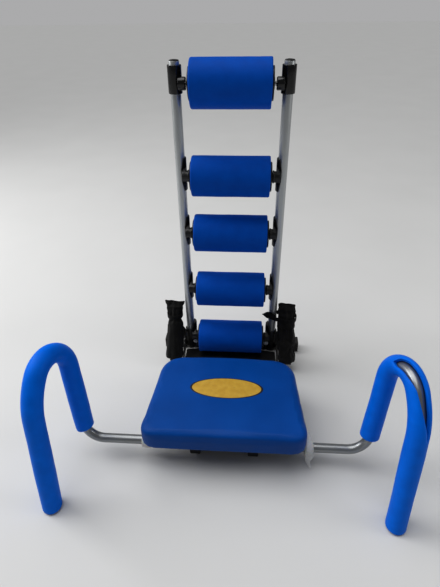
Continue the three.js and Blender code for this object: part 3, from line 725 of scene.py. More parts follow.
def add_cross_tubes():
    """The tube that the handles plug into, and the plugged one under the rear of the seat."""
    outer = FRAME_TUBE / 2
    place = moved(0, FRONT_TUBE_Y, FRONT_TUBE_Z) @ ALONG_X
    Solid().skin(pipe(10.2, outer, -FRONT_TUBE_HALF, FRONT_TUBE_HALF), True, place).piece(
        "handle_socket_tube", BLACK_COAT, "base", ["front_cross_tube"])
    place = moved(0, REAR_TUBE_Y, FRONT_TUBE_Z) @ ALONG_X
    Solid().skin(pipe(11, outer, -REAR_TUBE_HALF, REAR_TUBE_HALF), True, place).piece(
        "seat_cross_tube", BLACK_COAT, "base", ["seat_rear_tube"])
    end = REAR_TUBE_HALF
    plug = eased([(0, end + 3), (8, end + 2.6), (12.8, end + 0.2), (10.8, end + 0.1), (10.8, end - 12),
                  (0, end - 12)], 0.6)
    plugs = Solid()
    for _, side in SIDES:
        plugs.skin(turned(plug, 36), place=mirror(side) @ place)
    plugs.piece("cross_tube_plugs", SATIN_BLACK, "base")


def add_frame_welds():
    """Weld runs where the cross tubes, the rear crossbar and the hinge brackets meet the rails."""
    welds = Solid()
    for _, side in SIDES:
        rail = side * (RAIL_X - RAIL_SIZE / 2 + 1), side * (RAIL_X + RAIL_SIZE / 2 - 1)
        bracket = side * (UPRIGHT_X - 16), side * (UPRIGHT_X + 16)
        runs = [(rail, y + gap, RAIL_TOP + 1) for y in (FRONT_TUBE_Y, REAR_TUBE_Y) for gap in (-6, 6)]
        runs += [(rail, RAIL_END - 0.6, z) for z in (RAIL_TOP - 0.5, RAIL_TOP - RAIL_SIZE + 0.5)]
        runs += [(bracket, CROSSBAR_Y + way * (FRAME_TUBE / 2 - 1), RAIL_TOP + 0.8) for way in (-1, 1)]
        for (start, end), y, z in runs:
            add_weld(welds, (start, y, z), (end, y, z))
    welds.piece("frame_welds", BLACK_COAT, "base")


def add_shade_brace():
    """A black T-shaped plate that ties the two rails together behind the seat; it also fills the shade under
    the lowest roller, so its dark band is partly painted shade.
    """
    half, wide = RAIL_X + RAIL_SIZE / 2 + 3, UPRIGHT_X + 11
    plan = fillet([(-wide, -60), (wide, -60), (wide, -19), (half, -14), (half, 17), (-half, 17),
                   (-half, -14), (-wide, -19)], 4, 4, closed=True)
    holes = [[(side * RAIL_X + p[0], p[1]) for p in circle(3, sides=20)] for _, side in SIDES]
    Solid().plate(plan, 2, moved(0, 0, RAIL_TOP + 0.3), holes).piece(
        "rail_shade_brace", BLACK_COAT, "base", bevel=0.4)


def add_crossbar_cap(name, side):
    """A moulded rubber cup over the crossbar's end, ribbed where it grips the floor."""
    inner, outer = CROSSBAR_HALF - 26, CROSSBAR_HALF + 2
    outside = rounded_square(FRAME_TUBE + 4, 4.5)
    inside = rounded_square(FRAME_TUBE + 0.6, 3.2)

    steps = [(inside, 1, CROSSBAR_HALF + 0.3), (inside, 1, inner), (outside, 0.98, inner)]
    ribs = 4
    pitch = (outer - inner - 6) / ribs
    for k in range(ribs):
        x = inner + 1 + k * pitch
        steps += [(outside, 1, x), (outside, 1, x + pitch - 2), (outside, 0.965, x + pitch - 1.5),
                  (outside, 0.965, x + pitch - 0.7)]
    steps += [(outside, 1, outer - 4.5), (outside, 1, outer - 2.2), (outside, 0.975, outer - 0.8),
              (outside, 0.92, outer - 0.1), (outside, 0.5, outer)]
    rings = [[(p[0] * share, p[1] * share, x) for p in loop] for loop, share, x in steps]
    Solid().skin(rings, place=mirror(side) @ moved(0, CROSSBAR_Y, CROSSBAR_Z) @ ALONG_X).piece(
        f"crossbar_boot_{name}", RUBBER, "base", [f"crossbar_cap_{name}"], sharp=50)


# ---------------------------------------------------------------- hinges
def in_yz(x):
    """Places an XY plate in the YZ plane at x, its thickness along +X."""
    return moved(x, 0, 0) @ Matrix(((0, 0, 1, 0), (1, 0, 0, 0), (0, 1, 0, 0), (0, 0, 0, 1)))


def hexagon(radius, low, high):
    chamfer = 0.8
    return [circle(radius - chamfer, low, 6), circle(radius, low + chamfer * 0.6, 6),
            circle(radius, high - chamfer * 0.6, 6), circle(radius - chamfer, high, 6)]


def add_hinges():
    for name, side in SIDES:
        add_hinge_plate(name, side)
        add_pivot_screw(name, side)


def add_hinge_plate(name, side):
    """Two ears and the foot between them; the outer ear reaches forward to the pin for the spring."""
    short_ear = [(-11, 28), (15, 28), (44, 28.3), (44, 34.3), (12, 50), (6, 53), (-6, 53), (-12, 47)]
    long_ear = [(-58, 15), (-39, 15), (-11, 28), (15, 28), (44, 28.3), (44, 34.3),
                (12, 50), (6, 53), (-6, 53), (-12, 46), (-22, 40), (-58, 29)]
    hole = [(p[0], p[1] + HINGE_Z) for p in circle(PIVOT_RADIUS + 0.3, sides=24)]
    bracket = Solid()
    for outline, x in ((short_ear, INNER_EAR), (long_ear, OUTER_EAR)):
        bracket.plate(fillet(outline, 3, 3, closed=True), EAR_THICKNESS, mirror(side) @ in_yz(x), [hole])
    bracket.block((INNER_EAR + 0.5, 20, 28.3), (OUTER_EAR + EAR_THICKNESS - 0.5, 44, 32.3), mirror(side))
    tip, neck = SPRING_X + 14, PIVOT_RADIUS - 1
    pin = eased([(0, OUTER_EAR + 0.5), (PIVOT_RADIUS, OUTER_EAR + 0.5), (PIVOT_RADIUS, tip - 5),
                 (neck, tip - 4.6), (neck, tip - 3.4), (PIVOT_RADIUS, tip - 3), (PIVOT_RADIUS, tip),
                 (0, tip)], 0.4, 2)
    bracket.skin(turned(pin, 24), place=mirror(side) @ moved(0, PIN_Y, PIN_Z) @ ALONG_X)
    bracket.piece(f"hinge_plate_{name}", BLACK_COAT, "base", [f"hinge_bracket_{name}"], bevel=0.5)


def add_pivot_screw(name, side):
    """The hinge's bolt: a domed head and a washer inside, a nut outside."""
    inner, outer = INNER_EAR - 0.3, OUTER_EAR + EAR_THICKNESS + 0.3
    place = mirror(side) @ moved(0, 0, HINGE_Z) @ ALONG_X
    shank = [(0, inner), (PIVOT_RADIUS, inner), (PIVOT_RADIUS, outer + 2), (0, outer + 2)]
    head = eased([(0, inner - 4.5), (3.5, inner - 4.2), (6.2, inner - 2.2), (6.4, inner - 0.9),
                  (0, inner - 0.9)], 0.8)
    bolt = Solid().skin(turned(shank, 24), place=place)
    bolt.skin(turned(head, 32), place=place)
    bolt.skin(pipe(3.9, 7.4, inner - 0.9, inner, 0.25, 32), True, place)
    bolt.skin(hexagon(6.4, outer, outer + 3.6), place=place)
    bolt.piece(f"pivot_screw_{name}", ZINC, "base", [f"pivot_bolt_{name}"])


# ---------------------------------------------------------------- seat
def quadratic(start, bend, end, steps):
    result = []
    for k in range(steps):
        t = k / steps
        result.append(start * (1 - t) ** 2 + bend * 2 * t * (1 - t) + end * t ** 2)
    return result


def seat_outline(inset):
    """The seat's plan at an inset: straight front and sides, round corners, and a bowed rear edge."""
    front, rear = SEAT_FRONT + inset, SEAT_REAR - inset
    front_half, rear_half = SEAT_FRONT_HALF - inset, SEAT_REAR_HALF - inset
    front_corner, rear_corner, bow = 30, 46, 12

    def at(x, y):
        return Vector((x, y, 0))
    side_end, rear_end = at(rear_half, rear - rear_corner - bow), at(rear_half - rear_corner, rear - bow / 3)
    loop = [at(0, front)]
    loop += quadratic(at(front_half - front_corner, front), at(front_half, front),
                      at(front_half - 1, front + front_corner), 10)
    loop += quadratic(side_end, at(rear_half - 2, rear - bow), rear_end, 12)
    loop += quadratic(rear_end, at(0, rear + bow / 3), at(-rear_end.x, rear_end.y), 16)[:9]
    mirrored_half = [at(-p.x, p.y) for p in reversed(loop[1:-1])]
    return resampled(loop + mirrored_half + [loop[0]], 1.0)[:-1]


def even_outline(inset):
    """The seat's plan at an inset, always with the same number of points."""
    count = 240
    fine = seat_outline(inset)
    return [fine[round(k * len(fine) / count) % len(fine)] for k in range(count)]


def evaluated_copy(piece, name):
    """A new object with the piece's modifiers applied; the old one is removed."""
    shown = piece.evaluated_get(bpy.context.evaluated_depsgraph_get())
    mesh = bpy.data.meshes.new_from_object(shown)
    bpy.data.objects.remove(piece)
    made = bpy.data.objects.new(name, mesh)
    scene.collection.objects.link(made)
    return made


def remeshed(piece, voxel):
    remesh = piece.modifiers.new("even", "REMESH")
    remesh.mode = "VOXEL"
    remesh.voxel_size = voxel * MM
    remesh.use_smooth_shade = True
    return evaluated_copy(piece, piece.name + "_even")


def simulate(piece, pinned, frames, cap, **settings):
    """Runs the cloth solver on a mesh, then keeps its result with no point moved further than cap."""
    group = piece.vertex_groups.new(name="held")
    for vertex in piece.data.vertices:
        weight = pinned(vertex.co / MM - ORIGIN)
        if weight > 0:
            group.add([vertex.index], weight, "REPLACE")
    cloth = piece.modifiers.new("cloth", "CLOTH")
    cloth.settings.vertex_group_mass = "held"
    cloth.settings.effector_weights.gravity = 0
    cloth.collision_settings.use_collision = False
    for key, value in settings.items():
        setattr(cloth.settings, key, value)
    cloth.point_cache.frame_start, cloth.point_cache.frame_end = 1, frames
    for number in range(1, frames + 1):
        scene.frame_set(number)
    shown = piece.evaluated_get(bpy.context.evaluated_depsgraph_get())
    places = [vertex.co.copy() for vertex in shown.data.vertices]
    piece.modifiers.remove(cloth)
    piece.vertex_groups.remove(group)
    for vertex, place in zip(piece.data.vertices, places):
        move = place - vertex.co
        if move.length > cap * MM:
            move *= cap * MM / move.length
        vertex.co += move
    scene.frame_set(1)
    piece.data.update()


def add_subdivision(piece):
    smooth = piece.modifiers.new("smooth", "SUBSURF")
    smooth.levels = smooth.render_levels = 1


def add_seat():
    """A foam pad under vinyl: a firm start shape, swollen by the cloth solver, then creased and crowned."""
    profile = [(14, 64.5), (5, 64.7), (1.2, 66.2), (0, 69), (-0.4, 80), (-0.4, 101), (0.2, 106),
               (2.0, 109.6), (5.5, 111.6), (12, 112.3), (30, 112.4)]
    rings = [[(p.x, p.y, z) for p in even_outline(inset)] for inset, z in profile]
    pad = remeshed(Solid().skin(rings).object("seat_pad_start"), 4)
    simulate(pad, lambda p: 1.0 if p.z < 68 else 0.0, 14, 1.8,
             use_pressure=True, uniform_pressure_force=4.0, tension_stiffness=40, compression_stiffness=40,
             shear_stiffness=20, bending_stiffness=4, quality=6, mass=0.4)
    ease = pad.modifiers.new("ease", "SMOOTH")
    ease.iterations = 1
    pad = evaluated_copy(pad, "seat_pad")
    move_points(pad, seat_wear)
    low_side, high_side = box_mm("seat_cushion")
    for vertex in pad.data.vertices:
        vertex.co.z = min(vertex.co.z, high_side.z * MM)
        vertex.co.y = max(vertex.co.y, (low_side.y - 0.6) * MM)
    shade_smooth(pad.data)
    add_subdivision(pad)
    settle(pad, VINYL, "base", ["seat_cushion"])
    add_badge(pad)
    add_board()
    add_hem()
    add_staples()


def seat_wear(place, normal):
    """Pleats where the vinyl is gathered under at the corners, a slight crown, and soft hollows from use."""
    reach_x = abs(place.x) / SEAT_FRONT_HALF
    reach_y = abs(place.y - SEAT_MIDDLE) / ((SEAT_REAR - SEAT_FRONT) / 2)
    corner = smoothstep(0.74, 0.95, reach_x) * smoothstep(0.6, 0.95, reach_y)
    low = 1 - smoothstep(64, 80, place.z)
    pleat = 0.45 * sin(95 * atan2(place.y - SEAT_MIDDLE, place.x)) * corner * low
    top = smoothstep(104, 109, place.z)
    crown = 0.9 * top * (1 - min(reach_x, 1) ** 2) * (1 - min(reach_y, 1) ** 2)
    soft = 0.35 * ripple(place, 60, 3.0) + 0.10 * ripple(place, 18, 8.0)
    return normal * (pleat + soft * (0.3 + 0.7 * top)) + Vector((0, 0, crown))


def add_badge(pad):
    """A thin printed oval lying on the crown of the seat."""
    bpy.context.view_layer.update()
    tree = BVHTree.FromObject(pad, bpy.context.evaluated_depsgraph_get())
    rings, radial, sides = [], 14, 96
    for k in range(radial + 1):
        share = k / radial
        lift = 0.35 if k < radial else 0.12
        ring = []
        for spoke in circle(1, sides=sides):
            x = BADGE_X + BADGE_HALF_WIDTH * share * spoke[0]
            y = BADGE_Y + BADGE_HALF_DEPTH * share * spoke[1]
            above = (Vector((x, y, SEAT_TOP + 30)) + ORIGIN) * MM
            top = tree.ray_cast(above, Vector((0, 0, -1)))[0].z / MM
            ring.append(Vector((x, y, top + lift)))
        rings.append(ring)
    rings.append([point - Vector((0, 0, 0.5)) for point in rings[-1]])
    rings.append([point - Vector((0, 0, 0.8)) for point in rings[0]])
    Solid().skin(rings).piece("seat_badge", BADGE, "base")


def add_board():
    edge = BOARD_INSET
    profile = [(edge + 1, BOARD_BOTTOM + 0.05), (edge, BOARD_BOTTOM + 0.8), (edge, BOARD_TOP - 0.6),
               (edge + 0.8, BOARD_TOP + 0.2)]
    rings = [[(p.x, p.y, z) for p in even_outline(inset)] for inset, z in profile]
    Solid().skin(rings).piece("seat_base_board", PLYWOOD, "base", ["seat_board"])


def add_hem():
    """The vinyl's hem, drawn down round the board and under it to a ragged cut edge."""
    edge, width = BOARD_INSET, 26
    profile = [(8.0, 66), (10.4, 63), (edge - 0.9, 60), (edge - 0.9, 56), (edge - 0.2, 54.6),
               (edge + 1.2, 54.37), (edge + 12, 54.36), (edge + width, 54.38),
               (edge + width, 54.56), (edge + 1.4, 54.57), (edge - 0.1, 56), (edge - 0.1, 60), (12.2, 66)]
    centre = Vector((0, SEAT_MIDDLE, 0))
    rings = []
    for inset, z in profile:
        ring = []
        for k, p in enumerate(even_outline(inset)):
            ragged = 1.6 * sin(k * 1.1) + 1.1 * sin(k * 2.7) if inset == edge + width else 0.0
            p = p + (centre - p).normalized() * ragged
            ring.append((p.x, p.y, z))
        rings.append(ring)
    Solid().skin(rings, True).piece("seat_vinyl_hem", VINYL, "base", sharp=60)


def add_staples():
    """A row of staples through the hem, left out where the cross tubes pass."""
    staples = Solid()
    route = fillet([(-5, 0, 0.6), (-5, 0, 0), (5, 0, 0), (5, 0, 0.6)], 0.5, 3)
    wire = swept(route, circle(0.35, sides=8))
    loop = even_outline(BOARD_INSET + 15)
    spacing = 8
    for k in range(0, len(loop), spacing):
        point, ahead = loop[k], loop[(k + 1) % len(loop)]
        if min(abs(point.y - FRONT_TUBE_Y), abs(point.y - REAR_TUBE_Y)) < 12:
            continue
        heading = atan2(ahead.y - point.y, ahead.x - point.x) + 0.25 * sin(k)
        staples.skin(wire, place=moved(point.x, point.y, 54.0) @ Matrix.Rotation(heading, 4, "Z"))
    staples.piece("seat_staples", ZINC, "base")


# ---------------------------------------------------------------- handles
def handle_route(side):
    return fillet(mirrored(HANDLE_CORNERS, side), HANDLE_BENDS, BEND_STEPS)


def route_part(route, start, end):
    """The stretch of a route between two distances along it."""
    result, walked = [], 0.0
    for a, b in zip(route, route[1:]):
        length = (b - a).length
        if walked + length > start and not result:
            result.append(a.lerp(b, max(0.0, (start - walked) / length)))
        if result and walked + length >= end:
            result.append(a.lerp(b, (end - walked) / length))
            return result
        if result:
            result.append(b)
        walked += length
    return result


def route_length(route):
    return sum((b - a).length for a, b in zip(route, route[1:]))


def split_at(distance):
    """Half the angle of the right grip's split and its turn, in radians, at a distance along the tube."""
    for (start, half_a, turn_a), (end, half_b, turn_b) in zip(SPLIT, SPLIT[1:]):
        if start <= distance < end:
            t = (distance - start) / (end - start)
            half, turn = half_a + (half_b - half_a) * t, turn_a + (turn_b - turn_a) * t
            return radians(half), radians(turn)
    return 0.0, radians(SPLIT[0][2] if distance < SPLIT[0][0] else SPLIT[-1][2])


def grip_radius(travelled, from_end, phase=0.0):
    """The foam's outer radius: a little uneven, and tucked in at its two ends."""
    tuck = 3.0 * max(0.0, 1 - from_end / 3.2) ** 2
    return FOAM_RADIUS - tuck + 0.3 * sin(travelled / 31 + phase)


def whole_grip(route, phase):
    """A foam tube with rounded ends."""
    total, travelled, sections = route_length(route), 0.0, []
    for i, point in enumerate(route):
        travelled += (point - route[i - 1]).length if i else 0.0
        sections.append(grip_radius(travelled, min(travelled, total - travelled), phase))
    outer = swept(route, lambda i: circle(sections[i], sides=44))
    inner = swept(route, circle(FOAM_BORE, sides=44))
    return Solid().skin(outer + inner[::-1], True)


def split_grip(route, start):
    """The foam tube whose outer side has split: a whole tube, then one with two lips, then whole again."""
    columns, lip_steps = 44, 5
    total, travelled = start + route_length(route), start
    solid, rows = Solid(), []
    points = solid.points
    for i, (centre, across, up) in enumerate(travel_frames(route)):
        travelled += (centre - route[i - 1]).length if i else 0.0
        radius = grip_radius(travelled, min(travelled - start, total - travelled))
        half, turn = split_at(travelled)
        ahead = up.cross(across)
        outward = Quaternion(ahead, turn) @ loop_outward(centre, ahead)
        middle = atan2(outward.dot(up), outward.dot(across))
        share = half / radians(38)
        is_open = half > 0.01

        def at(r, turned_by):
            """Both lips stand away from the tube, the outer one more."""
            lift = 3.0 * exp(-(turned_by / 0.9) ** 2)
            lift += 1.0 * exp(-((2 * pi - turned_by) / 0.7) ** 2)
            r += lift * share
            angle = middle + turned_by
            return centre + across * (r * cos(angle)) + up * (r * sin(angle))
        row = {"open": is_open, "outer": [], "inner": [], "lip_a": [], "lip_b": []}
        inner_half = half + 0.12 * share
        for key, r, opening in (("outer", radius, half), ("inner", FOAM_BORE, inner_half)):
            for k in range(columns + is_open):
                near = min(k, columns - k) / 2
                curl = (2.4 if key == "outer" else -1.0) * max(0.0, 1 - near) ** 2 if is_open else 0.0
                row[key].append(len(points))
                points.append(at(r - curl, opening + (2 * pi - 2 * opening) * k / columns))
            if not is_open:
                row[key].append(row[key][0])
        for k in range(1, lip_steps):
            t = k / lip_steps
            r = radius + (FOAM_BORE - radius) * t
            opening = half + (inner_half - half) * t - 0.06 * sin(pi * t) * share
            row["lip_a"].append(len(points))
            points.append(at(r, opening))
            if is_open:
                row["lip_b"].append(len(points))
                points.append(at(r, 2 * pi - opening))
            else:
                row["lip_b"].append(row["lip_a"][-1])
        rows.append(row)

    def strip(a, b):
        for quad in zip(a, a[1:], b[1:], b):
            corners = tuple(dict.fromkeys(quad))
            if len(corners) > 2:
                solid.faces.append(corners)
    for a, b in zip(rows, rows[1:]):
        strip(a["outer"], b["outer"])
        strip(b["inner"], a["inner"])
        if a["open"] or b["open"]:
            for key, end in (("lip_a", 0), ("lip_b", -1)):
                strip(*([row["outer"][end], *row[key], row["inner"][end]] for row in (a, b)))
    for row in (rows[0], rows[-1]):
        strip(row["outer"], row["inner"])
    used = sorted({index for face in solid.faces for index in face})
    renumber = {old: new for new, old in enumerate(used)}
    solid.points = [points[old] for old in used]
    solid.faces = [tuple(renumber[index] for index in face) for face in solid.faces]
    return solid


def loop_outward(centre, ahead):
    """Out from the middle of the handle's loop, square to the tube."""
    outward = centre - Vector((centre.x, -355, 235))
    outward -= ahead * outward.dot(ahead)
    return outward.normalized()


def level_end(solid, route):
    """Slides the last stretch of a grip along its tube, so that it ends level just above the floor."""
    reach = 30
    tip = route[-1]
    lean = (route[-2] - tip).normalized()
    for k, p in enumerate(solid.points):
        along = (p - tip).dot(lean)
        if along < reach:
            aside = p - tip - lean * along
            drop = (FOAM_END_Z - (tip + aside).z) / lean.z
            solid.points[k] = p + lean * drop * min(1.0, 1 - along / reach)


def add_handles():
    for name, side in SIDES:
        route = handle_route(side)
        add_handle_bar(name, route)
        add_grip(name, side, route)
        add_foot(name, route)
        add_collar(name, side)


def add_handle_bar(name, route):
    outer = swept(route, circle(HANDLE_RADIUS, sides=36))
    inner = swept(route, circle(HANDLE_RADIUS - TUBE_WALL, sides=36))
    # The bars take the darker copy of the silver coat, which is painted shade.
    Solid().skin(outer + inner[::-1], True).piece(
        f"handle_bar_{name}", SHADED_SILVER, "base", [f"handle_tube_{name}"])


def add_grip(name, side, route):
    """The foam grip, from the tube's first bend over the loop and down to the floor."""
    start = route_length(route[:FOAM_START[side] + 2])
    path = resampled(route_part(route, start, route_length(route) - 0.1), 3.2)
    first, last = (path[1] - path[0]).normalized(), (path[-2] - path[-1]).normalized()
    end_gaps = (0.5, 1.3, 2.3)
    path[1:1] = [path[0] + first * gap for gap in end_gaps]
    path[-1:-1] = [path[-1] + last * gap for gap in reversed(end_gaps)]
    solid = split_grip(path, start) if side > 0 else whole_grip(path, side)
    level_end(solid, route)
    grip = solid.object(f"handle_grip_{name}", sharp=60)
    move_points(grip, lambda p, n: n * (0.22 * ripple(p, 22, 5.0) + 0.25 * ripple(p, 70, 2.0)))
    settle(grip, GRIP_FOAM, "base", [f"handle_foam_{name}"])
    add_subdivision(grip)


def add_foot(name, route):
    """A moulded plug in the tube's end with a round pad under it, cut level with the floor."""
    tip = route[-1]
    lean = (route[-2] - tip).normalized()
    turn = UP.rotation_difference(lean).to_matrix().to_4x4()
    place = moved(*tip) @ turn
    radius = FOOT_RADIUS
    rings = turned([(0, 14), (7.2, 14), (7.6, 12), (7.6, -0.3), (radius - 0.4, -0.3), (radius, -0.8)], 40)
    rings = [[place @ Vector(p) for p in ring] for ring in rings]
    for shrink, level in ((0.0, 1.0), (0.8, 0.0), (radius, 0.0)):
        ring = []
        for p in circle(radius - shrink, 0, 40):
            q = place @ Vector(p)
            ring.append(q - lean * ((q.z - level) / lean.z))
        rings.append(ring)
    Solid().skin(rings).piece(f"handle_rubber_{name}", RUBBER, "base", [f"handle_foot_{name}"])


def add_collar(name, side):
    """The pale bush between a handle tube and the front cross tube, and the screw that holds the tube."""
    place = mirror(side) @ moved(0, FRONT_TUBE_Y, FRONT_TUBE_Z) @ ALONG_X
    bore, outer = HANDLE_RADIUS + 0.3, COLLAR_RADIUS
    start = FRONT_TUBE_HALF + 0.3 + (RIGHT_COLLAR_SLIP if side > 0 else 0)
    end = start + COLLAR_LENGTH
    profile = eased_ring([(bore, start), (outer, start), (outer, start + 10), (outer - 1, start + 11),
                          (outer - 1.6, end), (bore, end)], 0.8)
    Solid().skin(turned(profile, 44), True, place).piece(
        f"tube_bush_{name}", NYLON, "base", [f"tube_collar_{name}"])

    seat = FRONT_TUBE_Z - FRAME_TUBE / 2 - 0.3
    place = moved(side * SCREW_X, FRONT_TUBE_Y, 0)
    shank = [(0, seat), (2.8, seat), (2.8, seat + 4), (0, seat + 4)]
    head = eased([(0, seat - 5), (2, seat - 5), (2.2, seat - 3.2), (2.8, seat - 4.8), (5, seat - 3.4),
                  (6, seat - 1), (6, seat), (0, seat)], 0.3, 2)
    screw = Solid().skin(turned(shank, 20), place=place)
    screw.skin(turned(head, 32), place=place)
    screw.piece(f"handle_bolt_{name}", ZINC, "base", [f"handle_screw_{name}"])


def add_film():
    """A torn scrap of the film that the tubes were wrapped in, caught in front of the right collar."""
    x = FRONT_TUBE_HALF + RIGHT_COLLAR_SLIP
    front = FRONT_TUBE_Y - COLLAR_RADIUS
    corners = [(x + 4, front + 12, 92), (x + 7, front - 2, 66), (x + 10, front - 3, 42),
               (x + 6, front - 4, 26), (x + 13, front - 9, 8)]
    route = resampled(fillet(corners, 10, 5), 2.0)
    last = len(route) - 1
    rings, widths = [], []
    for i, p in enumerate(route):
        t = i / last
        width = 3.0 + 12.5 * sin(pi * t) + 1.3 * sin(9 * t + 1) + 0.9 * sin(23 * t)
        across = Vector((1, 0.7 * sin(6 * t), 0.25 * sin(11 * t))).normalized()
        ahead = (route[min(i + 1, last)] - route[max(i - 1, 0)]).normalized()
        out = ahead.cross(across).normalized() * 0.12
        half = across * width / 2
        rings.append([p - half - out, p + half - out, p + half + out, p - half + out])
        widths.append(width)
    film = Solid().skin(rings).piece("film_scrap", FILM, "base")


# ---------------------------------------------------------------- back frame
def add_uprights():
    for name, side in SIDES:
        place = moved(side * UPRIGHT_X, 0, 0)
        outer, inner = UPRIGHT_RADIUS, UPRIGHT_RADIUS - TUBE_WALL
        Solid().skin(pipe(inner, outer, UPRIGHT_BOTTOM, UPRIGHT_TOP, sides=64), True, place).piece(
            f"back_tube_{name}", SILVER, "back_frame", [f"upright_{name}"])
        top = UPRIGHT_TOP
        plug = eased([(0, top - 14), (inner - 0.6, top - 14), (inner - 0.3, top + 0.1),
                      (outer - 0.7, top + 0.2), (outer - 1.2, top + 1.6), (4, top + 2.4),
                      (0, top + 2.4)], 0.5)
        Solid().skin(turned(plug, 48), place=place).piece(
            f"tube_plug_{name}", SATIN_BLACK, "back_frame", [f"top_plug_{name}"])
        add_socket(name, side)


def add_socket(name, side):
    """The black socket that holds an upright, with its hinge bosses and the arm that pulls on the spring."""
    bore, rim = UPRIGHT_RADIUS + 0.4, SOCKET_RADIUS
    top, middle = SOCKET_TOP, HINGE_Z
    cup = eased([(0, 60), (bore, 60), (bore, top), (rim, top), (rim, top - 6), (rim - 0.8, top - 7),
                 (rim - 0.8, middle + 14), (rim, middle + 12), (rim, middle - 12), (rim - 2, middle - 13),
                 (0, middle - 13)], 0.7, 3)
    socket = Solid().skin(turned(cup, 56), place=mirror(side) @ moved(UPRIGHT_X, 0, 0))
    arm = [(UPRIGHT_X + 8, 60), (UPRIGHT_X + 13, 60), (SPRING_X - 14, 96), (SPRING_X + 8, 98),
           (SPRING_X + 8, 112), (SPRING_X - 12, 112), (UPRIGHT_X + 8, 84)]
    eye = [(SPRING_X + p[0], ARM_Z + p[1]) for p in circle(3, sides=20)]
    standing = moved(0, ARM_Y + 4, 0) @ Matrix.Rotation(pi / 2, 4, "X")
    socket.plate(fillet(arm, 3, 3, closed=True), 5, mirror(side) @ standing, [eye])
    low, high = SOCKET_RADIUS - 14, SOCKET_RADIUS + 0.5
    boss = eased([(0, low), (8, low), (8, high), (0, high)], 0.4)
    for way in (1, -1):
        place = mirror(side) @ moved(UPRIGHT_X, 0, HINGE_Z) @ mirror(way) @ ALONG_X
        socket.skin(turned(boss, 32), place=place)
    socket.piece(f"back_socket_{name}", BLACK_COAT, "back_frame", [f"socket_{name}"], bevel=0.4)


# ---------------------------------------------------------------- rollers
def add_roller(name, body, height, half, radius, pad_node, core_node):
    """A foam roller on a bored core, with a ribbed disc and a hub at each end."""
    place = moved(0, ROLLER_Y, height) @ ALONG_X
    face = half - 0.8
    bore = 16.7
    corner = [(bore, face - 0.4), (radius - 6, face), (radius - 0.9, face - 0.3), (radius, face - 2.2)]
    lower = [(r, -h) for r, h in corner]
    outline = eased_ring(lower + corner[::-1], [0.8, 0, 0.9, 1.2, 1.2, 0.9, 0, 0.8], 4)
    section = []
    for p, q in zip(outline, outline[1:] + outline[:1]):
        steps = max(1, round((q - p).length / 6))
        section += [p.lerp(q, k / steps) for k in range(steps)]
    pad = Solid().skin(turned(section, 80), True, place).object(f"{name}_foam", sharp=60)
    seed = height / 97
    move_points(pad, lambda p, n: n * (0.30 * ripple(p, 34, seed) + 0.14 * ripple(p, 12, seed + 4)))
    settle(pad, ROLLER_FOAM, body, [pad_node])

    core = Solid()
    hole = AXLE_RADIUS + 0.5
    outside, tip, rim = half + DISC_OUTSIDE, half + HUB_TIP, DISC_RADIUS
    disc = eased([(hole, face - 3), (15.6, face - 3), (15.6, face + 0.3), (rim, face + 0.3), (rim, outside),
                  (rim - 2.5, outside), (rim - 3.5, outside - 1.4), (HUB_RADIUS + 2, outside - 1.4),
                  (HUB_RADIUS, tip - 0.8), (HUB_RADIUS - 0.8, tip), (hole, tip)], 0.35, 2)
    for way in (1, -1):
        end = place @ Matrix.Scale(way, 4, (0, 0, 1))
        core.skin(turned(disc, 56), True, end)
        for k in range(6):
            rib = Matrix.Rotation(k * pi / 3, 4, "Z")
            core.block((HUB_RADIUS, -0.8, outside - 1.6), (rim - 2.6, 0.8, outside - 0.2), end @ rib)
    sleeve = [(hole, -half), (15.9, -half), (15.9, half), (hole, half)]
    core.skin(turned(sleeve, 40), True, place)
    core.piece(f"{name}_hubs", SATIN_BLACK, body, [core_node])


def add_saddle(number, name, side, height, lowest):
    """The moulded saddle that hugs an upright and carries an axle's end in a round boss."""
    hug = (SOCKET_RADIUS if lowest else UPRIGHT_RADIUS) + 0.15
    wall, reach_up, reach_down = 2.6, 34, (13 if lowest else 34)
    sweep, steps = radians(76), 12
    rows = []
    for z, thin in ((-reach_down, 1.0), (-reach_down + 1.5, 0.0), (-12, 0.0), (0, 0.0), (12, 0.0),
                    (reach_up - 1.5, 0.0), (reach_up, 1.0)):
        narrow = sweep * (1 - 0.35 * smoothstep(14, 35, abs(z)))
        turns = [pi - narrow + 2 * narrow * k / steps for k in range(steps + 1)]
        outer = hug + wall - thin
        rows.append([(outer * cos(a), outer * sin(a), z) for a in turns]
                    + [(hug * cos(a), hug * sin(a), z) for a in reversed(turns)])
    saddle = Solid().skin(rows, place=mirror(side) @ moved(UPRIGHT_X, 0, height))

    start, end, bore = ROLLER_HALF + HUB_TIP + 0.5, UPRIGHT_X - 5, AXLE_RADIUS + 0.3
    boss = eased([(bore, start), (12.5, start), (12.5, start + 2.6), (11.2, start + 3.4), (11.2, end),
                  (bore, end)], 0.4, 2)
    saddle.skin(turned(boss, 44), True, mirror(side) @ moved(0, ROLLER_Y, height) @ ALONG_X)
    web_front = ROLLER_Y - 9
    web = fillet([(2, 20), (web_front, 8), (web_front, -8), (2, -min(20, reach_down))], 3, 3, closed=True)
    inner = UPRIGHT_X - hug - wall
    saddle.plate(web, 5.2, mirror(side) @ moved(0, 0, height) @ in_yz(inner + 0.4))
    saddle.piece(f"roller_saddle_{number}_{name}", SATIN_BLACK, "back_frame",
                 [f"roller_bracket_{number}_{name}"], bevel=0.35)


def add_saddle_screws(height):
    """A bright screw under each of the lowest saddles' bosses."""
    screws = Solid()
    profile = eased([(0, 0), (3.4, 0), (3.4, 5), (6.0, 5), (6.0, 6.8), (3.6, 9.2), (1.8, 9.2), (1.5, 7.8),
                     (0, 7.8)], 0.3, 2)
    boss_x, below_axle = 90.0, 18.5
    tilt = Matrix.Rotation(radians(62), 4, "X")
    for _, side in SIDES:
        screws.skin(turned(profile, 28), place=moved(side * boss_x, ROLLER_Y + 1, height - below_axle) @ tilt)
    screws.piece("saddle_screws", DULL_ZINC, "back_frame")


